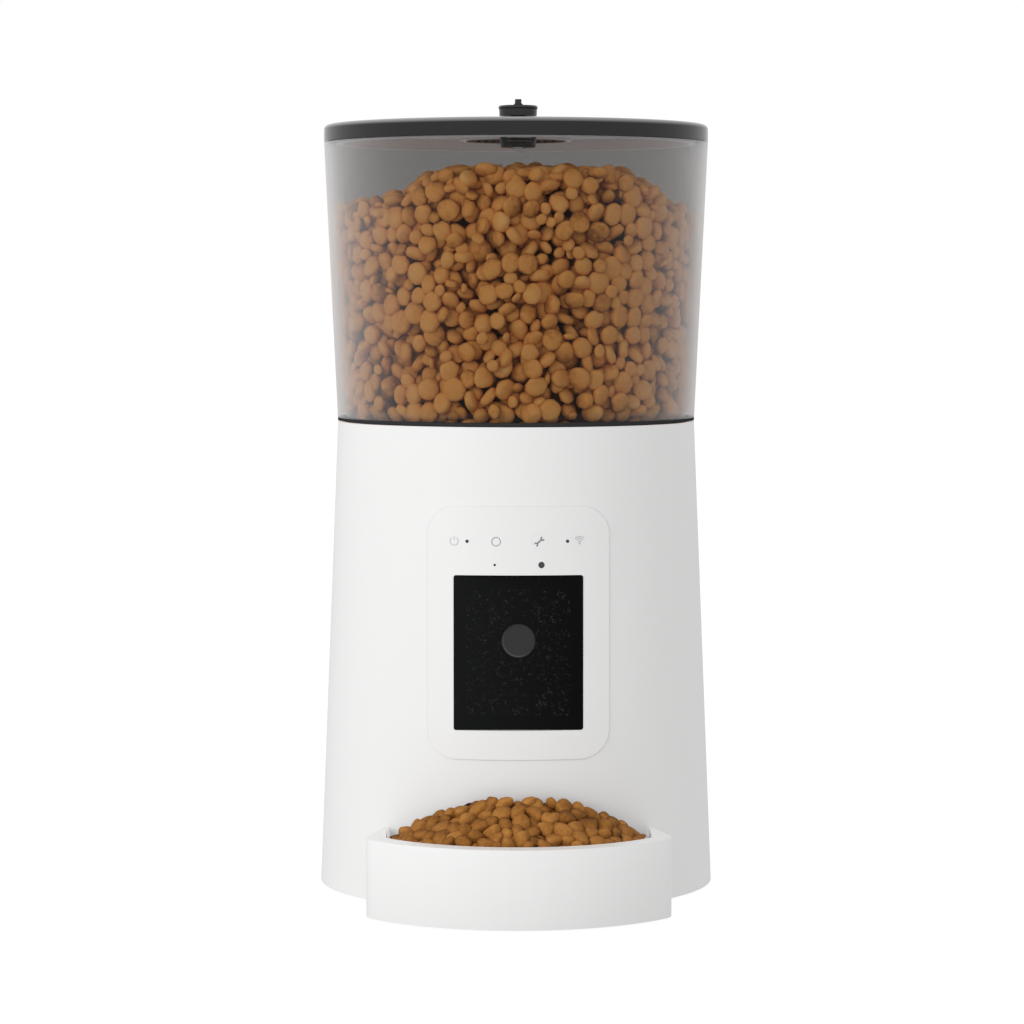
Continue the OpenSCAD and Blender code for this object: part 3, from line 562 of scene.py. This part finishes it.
def press_in_tank(verts):
    """Presses points that reach into the tank's wall or funnel back onto it."""
    x, y = verts[:, 0], verts[:, 1] - AXIS_Y
    r = np.hypot(x, y)
    share = np.clip((r - FUNNEL_LOW_R) / (FUNNEL_TOP_R - FUNNEL_LOW_R), 0, 1)
    z = np.maximum(verts[:, 2], FUNNEL_LOW_Z + (FUNNEL_TOP_Z - FUNNEL_LOW_Z) * share + 0.6 * MM)
    limit = tank_r(z) - TANK_WALL - PRESS_GAP
    fit = np.minimum(1, limit / np.maximum(r, 1e-6))
    return np.stack([x * fit, AXIS_Y + y * fit, z], axis=1)


FILL_TOP = TANK_TOP_Z - 29.5 * MM
DOME_X = 6 * MM
DOME_RISE = 13.5 * MM


def fill_height(x, y):
    """Height of the food's surface in the tank, x and y measured from the tank's axis."""
    out = np.hypot(x - DOME_X, y * 0.45)
    fall = np.clip((85 * MM - out) / (40 * MM), 0, 1)
    dome = DOME_RISE * fall * fall * (3 - 2 * fall)
    peak = 3.5 * MM * np.exp(-((x - 16 * MM) ** 2 + y ** 2 * 0.4) / (14 * MM) ** 2)
    left = -5 * MM * np.clip((-x - 40 * MM) / (60 * MM), 0, 1)
    right = -9 * MM * np.clip((x - 62 * MM) / (35 * MM), 0, 1)
    return FILL_TOP + dome + peak + left + right


def wall_layer(name, depth, pitch, level, paint, z_low, z_high):
    """One layer of kibble lying against the inside of the tank's wall."""
    mid_r = tank_r((z_low + z_high) / 2) - TANK_WALL - depth
    around = 2 * math.pi * mid_r
    tall = z_high - z_low
    count = int(around * tall / pitch ** 2)
    halves = disc_sizes(count)
    start = np.stack([rng.uniform(0, around, count), rng.uniform(0, tall, count)], axis=1)

    def keep_in(p):
        p[:, 0] %= around
        p[:, 1] = np.clip(p[:, 1], 0, tall)
        return p

    spots = relaxed(start, halves[:, 0] * 0.84, keep_in, wrap=around)
    turn = spots[:, 0] / mid_r
    z = z_low + spots[:, 1]
    normals = np.stack([np.sin(turn), -np.cos(turn), np.zeros(count)], axis=1)
    frames, lean = frames_for(normals, 0.5, 0.16)
    reach = np.hypot(halves[:, 2] * np.cos(lean), halves[:, 0] * 0.92 * np.sin(lean))
    wall = np.array([tank_r(h) for h in z]) - TANK_WALL - 0.6 * MM
    out = wall - reach - depth - rng.uniform(0, 2.6 * MM, count)
    centres = np.stack([out * np.sin(turn), AXIS_Y - out * np.cos(turn), z], axis=1)
    under = z < fill_height(centres[:, 0], centres[:, 1] - AXIS_Y) - 0.35 * halves[:, 0]
    keep = np.flatnonzero(under)
    lobes = disc_lobes(len(keep))
    bends = rng.normal(0, KIBBLE_BEND, len(keep))
    return kibble_mesh(name, centres[keep], frames[keep], halves[keep], lobes, bends, level, paint, "hopper",
                       normals[keep], press_in_tank)


def top_layer(name, sink, pitch, level, paint):
    """One layer of kibble over the top of the fill."""
    reach = tank_r(FILL_TOP) - TANK_WALL - 6.5 * MM
    count = int(math.pi * reach ** 2 / pitch ** 2)
    halves = disc_sizes(count)
    angle = rng.uniform(0, 2 * math.pi, count)
    start = np.stack([np.cos(angle), np.sin(angle)], axis=1) * (reach * np.sqrt(rng.random(count)))[:, None]

    def keep_in(p):
        far = np.hypot(p[:, 0], p[:, 1])
        return p * np.minimum(1, reach / np.maximum(far, 1e-6))[:, None]

    spots = relaxed(start, halves[:, 0] * 0.84, keep_in)
    step = 2 * MM
    x, y = spots.T
    slope_x = (fill_height(x + step, y) - fill_height(x - step, y)) / (2 * step)
    slope_y = (fill_height(x, y + step) - fill_height(x, y - step)) / (2 * step)
    normals = np.stack([-slope_x, -slope_y, np.ones(count)], axis=1)
    normals /= np.linalg.norm(normals, axis=1, keepdims=True)
    frames, _ = frames_for(normals, 0.5, 0.25)
    z = fill_height(x, y) - sink + rng.uniform(-1.8, 1.8, count) * MM
    centres = np.stack([x, y + AXIS_Y, z], axis=1)
    bends = rng.normal(0, KIBBLE_BEND, count)
    lit_way = normals + np.stack([x, y, np.zeros(count)], axis=1) / np.hypot(x, y)[:, None]
    lit_way /= np.linalg.norm(lit_way, axis=1, keepdims=True)
    return kibble_mesh(name, centres, frames, halves, disc_lobes(count), bends, level, paint, "hopper",
                       lit_way, press_in_tank)


def funnel_layer(name, paint):
    """Kibble lying on the funnel, down to its throat."""
    low_r, low_z, high_r, high_z = FUNNEL_LOW_R, FUNNEL_LOW_Z, FUNNEL_TOP_R, FUNNEL_TOP_Z
    pitch = 11.2 * MM
    rows = []
    steps = 8
    for k in range(steps):
        share = (k + 0.5) / steps
        r = low_r + (high_r - low_r) * share - 5.5 * MM
        z = low_z + (high_z - low_z) * share + 3.5 * MM
        many = int(2 * math.pi * r / pitch)
        turn = (np.arange(many) + rng.uniform(-0.25, 0.25, many) + 0.5 * (k % 2)) * 2 * math.pi / many
        rows.append(np.stack([turn, np.full(many, r), np.full(many, z)], axis=1))
    turn, r, z = np.concatenate(rows).T
    count = len(turn)
    z = z + rng.uniform(-1.2, 1.2, count) * MM
    slope = math.atan2(high_z - low_z, high_r - low_r)
    normals = np.stack([np.sin(turn) * math.sin(slope), -np.cos(turn) * math.sin(slope),
                        np.full(count, -math.cos(slope))], axis=1)
    frames, _ = frames_for(normals, 0.25, 0.0)
    centres = np.stack([r * np.sin(turn), AXIS_Y - r * np.cos(turn), z], axis=1)
    halves = disc_sizes(count)
    return kibble_mesh(name, centres, frames, halves, disc_lobes(count), rng.normal(0, KIBBLE_BEND, count), 2,
                       paint, "hopper", normals, press_in_tank)


def food_core(name, paint):
    """Heart of the fill, hidden behind the layers of kibble, painted dark as painted shade."""
    around = 72
    top_r = 76
    below_surface = 16 * MM
    rings = []
    profile = [(0.0, 214.0), (30.0, 214.0), (46.0, 216.0), (52.0, 222.0), (70.0, 248.0), (top_r, 262.0)]
    for r, z in profile:
        rings.append([(r * MM, z * MM)] * around)
    for share in (1.0, 0.75, 0.5, 0.25, 0.0):
        rings.append([(top_r * MM * share, None)] * around)
    verts = []
    for ring in rings:
        for k, (r, z) in enumerate(ring):
            turn = 2 * math.pi * k / around
            x, y = r * math.sin(turn), -r * math.cos(turn)
            z = fill_height(x, y) - below_surface if z is None else z
            verts.append((x, y + AXIS_Y, z))
    faces = []
    for row in range(len(rings) - 1):
        for k in range(around):
            n = (k + 1) % around
            faces.append((row * around + k, row * around + n, (row + 1) * around + n, (row + 1) * around + k))
    tones_and_shade = np.full(len(verts), 0.2)
    tris = np.array([t for a, b, c, d in faces for t in ((a, b, c), (a, c, d))])
    return triangles_to_mesh(name, np.array(verts), tris, tones_and_shade, paint, "hopper")


# painted light: the tank's kibble is painted about three times brighter than the same food in the bowl,
# making up for light lost in the smoked wall
brightened_tank_food = kibble_paint("tank_kibble", (0.30, 0.105, 0.025), (0.88, 0.385, 0.10), (0.98, 0.52, 0.17),
                         relief=0.0004)
# painted shade: the core's kibble is a darker copy of the tank's kibble, standing for the shade deep in the
# fill
shaded_core_food = kibble_paint("tank_kibble_core_shaded", (0.16, 0.06, 0.02), (0.24, 0.095, 0.035), (0.3, 0.12, 0.05))
wall_layer("tank_kibble_wall_low", 0.0, 9.1 * MM, 3, brightened_tank_food, SEAM_Z + 7 * MM, SEAM_Z + 47 * MM)
wall_layer("tank_kibble_wall_high", 0.0, 9.1 * MM, 3, brightened_tank_food, SEAM_Z + 54 * MM, FILL_TOP + 12 * MM)
wall_layer("tank_kibble_second", 4.8 * MM, 9.1 * MM, 2, brightened_tank_food, SEAM_Z + 8 * MM, FILL_TOP + 10 * MM)
wall_layer("tank_kibble_third", 10.5 * MM, 9.6 * MM, 2, brightened_tank_food, SEAM_Z + 16 * MM, FILL_TOP + 8 * MM)
top_layer("tank_kibble_top", 3 * MM, 9.0 * MM, 3, brightened_tank_food)
top_layer("tank_kibble_under", 8 * MM, 9.2 * MM, 2, brightened_tank_food)
funnel_layer("tank_kibble_funnel", brightened_tank_food)
food_core("tank_kibble_heart", shaded_core_food)

# ---- Kibble in the bowl ----

BOWL_FRONT_R = 85.7 * MM
BOWL_FRONT_Y = AXIS_Y - 60 * MM
BOWL_BACK_R = 111.1 * MM
HEAP_SIDE_X = 67.3 * MM
BOWL_WALL_X = 63.7 * MM
BOWL_FLOOR_Z = bowl_low.z + 1 * MM
PILE_TOP = 63.5 * MM
PILE_FRONT = 39 * MM


def bowl_margin(x, y):
    """How far a point is inside the heap's front, back and sides, negative outside them."""
    front = BOWL_FRONT_R - np.hypot(x, y - BOWL_FRONT_Y)
    back = np.hypot(x, y - AXIS_Y) - BOWL_BACK_R
    side = HEAP_SIDE_X - np.abs(x)
    return front, back, side


def press_in_bowl(verts):
    """Presses points that reach into the steel bowl's wall or floor back inside it."""
    gap = 0.3 * MM
    z = np.maximum(verts[:, 2], bowl_low.z + 1.1 * MM)
    over_rim = np.clip((z - bowl_high.z - 0.2 * MM) / (1.6 * MM), 0, 1)
    overhang, back_overhang = 5 * MM * over_rim, 20 * MM * over_rim
    x, y = verts[:, 0], verts[:, 1] - BOWL_FRONT_Y
    fit = np.minimum(1, (BOWL_FRONT_R - gap + overhang) / np.hypot(x, y))
    x, y = x * fit, BOWL_FRONT_Y + y * fit - AXIS_Y
    fit = np.maximum(1, (BOWL_BACK_R + gap - back_overhang) / np.hypot(x, y))
    side = BOWL_WALL_X - gap + overhang
    return np.stack([np.clip(x * fit, -side, side), AXIS_Y + y * fit, z], axis=1)


def pile_height(x, y):
    """Height of the heap in the bowl: highest in the middle of its back, where the food slides out."""
    along = np.clip(1 - (x / (66 * MM)) ** 2, 0, 1)
    depth = np.clip((np.hypot(x, y - AXIS_Y) - BOWL_BACK_R) / (32 * MM), 0, 1)
    rise = (PILE_TOP - PILE_FRONT) * along ** 0.8 * (1 - 0.85 * depth ** 1.1)
    return PILE_FRONT + rise - 3 * MM * (1 - along)


def bowl_kibble(paint):
    """A heap of small beans, pillows and blunt triangles, packed by pushing them apart."""
    count = 430
    grow = rng.choice([0.78, 1.0, 1.12], count, p=[0.3, 0.5, 0.2])[:, None]
    halves = np.stack([rng.normal(5.7, 0.6, count), rng.normal(4.1, 0.4, count),
                       rng.normal(3.3, 0.35, count)], axis=1) * MM * grow
    radii = halves.mean(1)
    x = rng.uniform(-HEAP_SIDE_X, HEAP_SIDE_X, count)
    y = rng.uniform(bowl_low.y, bowl_high.y, count)
    z = rng.uniform(BOWL_FLOOR_Z, PILE_TOP, count)

    def keep_in(p):
        for _ in range(2):
            front, back, side = bowl_margin(p[:, 0], p[:, 1])
            short = np.clip(radii - front, 0, None)
            way = np.stack([p[:, 0], p[:, 1] - BOWL_FRONT_Y], axis=1)
            way /= np.linalg.norm(way, axis=1, keepdims=True)
            p[:, :2] -= way * short[:, None]
            short = np.clip(radii - back, 0, None)
            way = np.stack([p[:, 0], p[:, 1] - AXIS_Y], axis=1)
            way /= np.linalg.norm(way, axis=1, keepdims=True)
            p[:, :2] += way * short[:, None]
            front, back, side = bowl_margin(p[:, 0], p[:, 1])
            p[:, 0] -= np.sign(p[:, 0]) * np.clip(radii - side, 0, None)
        top = pile_height(p[:, 0], p[:, 1]) - radii * 0.75
        p[:, 2] = np.clip(p[:, 2], BOWL_FLOOR_Z + radii * 0.8, np.maximum(top, BOWL_FLOOR_Z + radii * 0.8))
        return p

    spots = relaxed(keep_in(np.stack([x, y, z], axis=1)), radii, keep_in)
    front, back, side = bowl_margin(spots[:, 0], spots[:, 1])
    inside = (front > radii * 0.4) & (back > radii * 0.4) & (side > radii * 0.4)
    rows = [11, 10]
    ridge_x = np.concatenate([np.linspace(-39, 39, rows[0]), np.linspace(-35, 35, rows[1])]) * MM
    ridge_out = BOWL_BACK_R + np.repeat([2.5, 4.5], rows) * MM
    ridge_y = AXIS_Y - np.sqrt(ridge_out ** 2 - ridge_x ** 2)
    shoulder = 2 * MM * np.exp(-((np.abs(ridge_x) - 26 * MM) / (6 * MM)) ** 2)
    ridge_z = pile_height(ridge_x, ridge_y) + shoulder - np.repeat([6.0, 11.5], rows) * MM
    ridge = np.stack([ridge_x, ridge_y, ridge_z], axis=1) + rng.uniform(-1, 1, (sum(rows), 3)) * MM
    spots = np.concatenate([spots[inside], ridge])
    halves = np.concatenate([halves[inside], halves[:sum(rows)]])
    count = len(spots)
    step = 2 * MM
    px, py = spots[:, 0], spots[:, 1]
    slope_x = (pile_height(px + step, py) - pile_height(px - step, py)) / (2 * step)
    slope_y = (pile_height(px, py + step) - pile_height(px, py - step)) / (2 * step)
    normals = np.stack([-slope_x, -slope_y, np.ones(count)], axis=1)
    normals /= np.linalg.norm(normals, axis=1, keepdims=True)
    frames, _ = frames_for(normals, 0.45, 0.12)
    kind = rng.random(count)
    three_cornered = kind < 0.35
    bean = kind > 0.7
    lobe_depth = np.where(three_cornered, rng.uniform(0.08, 0.15, count), rng.uniform(0.0, 0.08, count))
    lobes = np.stack([np.where(three_cornered, 3.0, 2.0), lobe_depth], axis=1)
    halves[three_cornered, 0] *= 0.85
    halves[three_cornered, 1] *= 1.15
    bends = np.where(bean, rng.uniform(25, 70, count), rng.normal(0, 8, count))
    buried = spots[:, 2] < pile_height(px, py) - 12 * MM
    # the lit direction leans toward the front left, so the pieces' painted shade falls on their backs and
    # bottoms
    lit_way = normals + np.array([-0.2, -0.9, 0.0])
    lit_way /= np.linalg.norm(lit_way, axis=1, keepdims=True)
    for name, chosen, level in (("bowl_kibble", ~buried, 3), ("bowl_kibble_under", buried, 2)):
        kibble_mesh(name, spots[chosen], frames[chosen], halves[chosen], lobes[chosen], bends[chosen], level,
                    paint, "bowl", lit_way[chosen], press_in_bowl)


bowl_food = kibble_paint("bowl_kibble", (0.07, 0.022, 0.004), (0.30, 0.12, 0.024), (0.50, 0.225, 0.055))
bowl_kibble(bowl_food)

# ---- Printed signs on the panel ----


def panel_point(x, z, lift):
    """A point on the panel's face, lifted off it."""
    r = base_r(z) + PANEL_PROUD + lift
    return (x, AXIS_Y - math.sqrt(r * r - x * x), z)


def stroke(points, width, closed=False):
    """Left and right edges of a line of this width, as vertices and faces in the panel's plane."""
    path = [Vector(p) for p in points]
    count = len(path)
    verts = []
    for k, here in enumerate(path):
        back = path[k - 1] if k or closed else here
        ahead = path[(k + 1) % count] if k + 1 < count or closed else here
        way = (ahead - back).normalized()
        side = Vector((-way.y, way.x)) * width / 2
        verts += [here + side, here - side]
    last = count if closed else count - 1
    faces = []
    for k in range(last):
        n = (k + 1) % count
        faces.append((2 * k, 2 * k + 1, 2 * n + 1, 2 * n))
    return [tuple(v) for v in verts], faces


def arc(cx, cz, r, start, end, steps=28):
    """Points of an arc, its angles in degrees from the right."""
    turns = [math.radians(start + (end - start) * k / steps) for k in range(steps + 1)]
    return [(cx + r * math.cos(t), cz + r * math.sin(t)) for t in turns]


def sign(name, strokes, paint, lift=0.08 * MM, body="base"):
    """Printed sign made of flat strokes that follow the panel's curve."""
    verts, faces = [], []
    for flat, quads in strokes:
        start = len(verts)
        verts += [panel_point(x, z, lift) for x, z in flat]
        faces += [tuple(start + i for i in quad) for quad in quads]
    return add_mesh(name, verts, faces, paint, body)


SIGN_Z = (feed_low.z + feed_high.z) / 2
PALE_STROKE = 0.42 * MM
WAVE_STROKE = 0.4 * MM
feed_x = (feed_low.x + feed_high.x) / 2
tool_x = (tool_low.x + tool_high.x) / 2
ink_pale = moulded("ink_pale", (0.56, 0.57, 0.58), 0.45, spread=0.05)
ink_dark = moulded("ink_dark", (0.22, 0.225, 0.23), 0.45, spread=0.05)

power_x = pipes_low.x - 5.8 * MM
power_ring = stroke(arc(power_x, SIGN_Z, 2.1 * MM, 125, 415), PALE_STROKE)
power_bar = stroke([(power_x, SIGN_Z + 0.5 * MM), (power_x, SIGN_Z + 2.7 * MM)], PALE_STROKE)
sign("power_sign", [power_ring, power_bar], ink_pale)

wave_x = pipes_high.x + 5.4 * MM
wave_z = SIGN_Z - 1.2 * MM
waves = [stroke(arc(wave_x, wave_z, r * MM, 45, 135), WAVE_STROKE) for r in (1.3, 2.4, 3.5)]
wave_stem = stroke(arc(wave_x, wave_z, 0.28 * MM, 0, 330), 0.5 * MM)
sign("signal_sign", waves + [wave_stem], ink_pale)

# a double-ended spanner, printed on the cap of the settings button
SPANNER_HALF = 2.25 * MM
SPANNER_LEAN = 42
JAW_R = 0.78 * MM
lean_x = SPANNER_HALF * math.cos(math.radians(SPANNER_LEAN))
lean_z = SPANNER_HALF * math.sin(math.radians(SPANNER_LEAN))
shaft = [(tool_x + end * lean_x, SIGN_Z + end * lean_z) for end in (-0.8, 0.8)]
spanner = [stroke(shaft, 0.8 * MM)]
for end in (-1, 1):
    open_way = SPANNER_LEAN if end > 0 else SPANNER_LEAN + 180
    jaw = arc(tool_x + end * lean_x, SIGN_Z + end * lean_z, JAW_R, open_way + 62, open_way + 298)
    spanner.append(stroke(jaw, 0.72 * MM))
sign("spanner_sign", spanner, ink_dark, body="settings_button")

ring_r = (feed_high.x - feed_low.x) / 2 - 0.16 * MM
feed_ring = stroke(arc(feed_x, SIGN_Z, ring_r, 0, 354, 60), 0.26 * MM, closed=True)
sign("feed_sign", [feed_ring], ink_pale, body="feed_button")


def outline_filler(name, points, wide, sink, paint):
    """White bead just under the surface, which closes the seam along a closed outline."""
    flat, quads = stroke(points, wide, closed=True)
    return sign(name, [(flat, quads)], paint, lift=-sink)


def rounded_outline(half_w, low_z, high_z, r, steps=14):
    """Closed outline of the panel, every side split finely enough to follow its curve."""
    corners = [(half_w - r, high_z - r, 0), (-half_w + r, high_z - r, 90),
               (-half_w + r, low_z + r, 180), (half_w - r, low_z + r, 270)]
    path = []
    for k, (cx, cz, turn) in enumerate(corners):
        path += arc(cx, cz, r, turn, turn + 90, steps)
        nx, nz, nturn = corners[(k + 1) % 4]
        start = Vector(path[-1])
        first = Vector(arc(nx, nz, r, nturn, nturn + 90, 1)[0])
        path += [tuple(start.lerp(first, j / 24)) for j in range(1, 24)]
    return path


HALF_SEAM = 0.15 * MM
panel_edge = rounded_outline(panel_high.x + HALF_SEAM, panel_low.z - HALF_SEAM, panel_high.z + HALF_SEAM,
                             15 * MM + HALF_SEAM)
outline_filler("panel_bead", panel_edge, 1.6 * MM, PANEL_PROUD + 0.12 * MM, materials["shell_white"])
cap_edge = arc(tool_x, SIGN_Z, (tool_high.x - tool_low.x) / 2 + 0.075 * MM, 0, 355, 71)
outline_filler("settings_bead", cap_edge, 0.7 * MM, 0.12 * MM, materials["shell_white"])

# ---- Stage, light and camera ----


def white_floor():
    """Pale floor that stays nearly free of shadow, as in a studio."""
    mat = bpy.data.materials.new("floor_white")
    mat.use_nodes = True
    tree = mat.node_tree
    tree.nodes.clear()
    glow = tree.nodes.new("ShaderNodeEmission")
    seen = tree.nodes.new("ShaderNodeLightPath").outputs["Is Camera Ray"]
    strength = tree.nodes.new("ShaderNodeMapRange")
    strength.inputs["To Min"].default_value = 0.55
    strength.inputs["To Max"].default_value = 0.93
    dull = tree.nodes.new("ShaderNodeBsdfDiffuse")
    dull.inputs["Color"].default_value = (0.12, 0.12, 0.12, 1)
    both = tree.nodes.new("ShaderNodeAddShader")
    out = tree.nodes.new("ShaderNodeOutputMaterial")
    tree.links.new(seen, strength.inputs["Value"])
    tree.links.new(strength.outputs["Result"], glow.inputs["Strength"])
    tree.links.new(glow.outputs[0], both.inputs[0])
    tree.links.new(dull.outputs[0], both.inputs[1])
    tree.links.new(both.outputs[0], out.inputs["Surface"])
    return mat


FLOOR_HALF = 30.0
floor_mesh = bpy.data.meshes.new("floor")
corners = [(x * FLOOR_HALF, y * FLOOR_HALF, 0) for x, y in ((-1, -1), (1, -1), (1, 1), (-1, 1))]
floor_mesh.from_pydata(corners, [], [(0, 1, 2, 3)])
floor_mesh.materials.append(white_floor())
floor = bpy.data.objects.new("floor", floor_mesh)
bpy.context.scene.collection.objects.link(floor)

world = bpy.data.worlds.new("studio")
bpy.context.scene.world = world
world.use_nodes = True
sky = world.node_tree
sky.nodes.clear()
way = sky.nodes.new("ShaderNodeTexCoord").outputs["Generated"]
split = sky.nodes.new("ShaderNodeSeparateXYZ")
sky.links.new(way, split.inputs[0])
from_side = sky.nodes.new("ShaderNodeMapRange")
from_side.interpolation_type = "SMOOTHSTEP"
for socket, value in (("From Min", -1.0), ("From Max", 1.0), ("To Min", 0.82), ("To Max", 0.80)):
    from_side.inputs[socket].default_value = value
sky.links.new(split.outputs[0], from_side.inputs["Value"])
seen = sky.nodes.new("ShaderNodeLightPath").outputs["Is Camera Ray"]
pick = sky.nodes.new("ShaderNodeMix")
pick.data_type = "FLOAT"
pick.inputs[3].default_value = 1.0
sky.links.new(seen, pick.inputs[0])
sky.links.new(from_side.outputs["Result"], pick.inputs[2])
backdrop = sky.nodes.new("ShaderNodeBackground")
backdrop.inputs["Color"].default_value = (1, 1, 1, 1)
sky.links.new(pick.outputs[0], backdrop.inputs["Strength"])
world_out = sky.nodes.new("ShaderNodeOutputWorld")
sky.links.new(backdrop.outputs[0], world_out.inputs["Surface"])


def softbox(name, place, aim, wide, tall, power):
    """A soft rectangular lamp that is not seen itself."""
    light = bpy.data.lights.new(name, "AREA")
    light.shape = "RECTANGLE"
    light.size = wide
    light.size_y = tall
    light.energy = power
    lamp = bpy.data.objects.new(name, light)
    lamp.location = place
    lamp.rotation_mode = "QUATERNION"
    lamp.rotation_quaternion = (Vector(aim) - Vector(place)).to_track_quat("-Z", "Y")
    lamp.visible_camera = False
    lamp.visible_glossy = False
    bpy.context.scene.collection.objects.link(lamp)


middle = Vector((0, AXIS_Y, TANK_TOP_Z / 2))
softbox("front_left", (-1.5, -1.6, 1.0), middle, 1.3, 1.6, 20)

CAMERA_AWAY = 1.89
CAMERA_HEIGHT = 0.322
CAMERA_TURN = math.radians(-0.75)
PITCH = math.radians(-3.68)
AIM_LEFT = math.radians(0.0655)
camera_data = bpy.data.cameras.new("camera")
camera_data.lens = 123.05
camera_data.sensor_width = 36
camera_data.clip_start = 0.05
camera_data.clip_end = 100
camera = bpy.data.objects.new("camera", camera_data)
camera.location = (CAMERA_AWAY * math.sin(CAMERA_TURN),
                   AXIS_Y - CAMERA_AWAY * math.cos(CAMERA_TURN), CAMERA_HEIGHT)
camera.rotation_euler = (math.radians(90) + PITCH, 0, CAMERA_TURN + AIM_LEFT)
bpy.context.scene.collection.objects.link(camera)
bpy.context.scene.camera = camera
bpy.context.scene.view_settings.view_transform = "Standard"
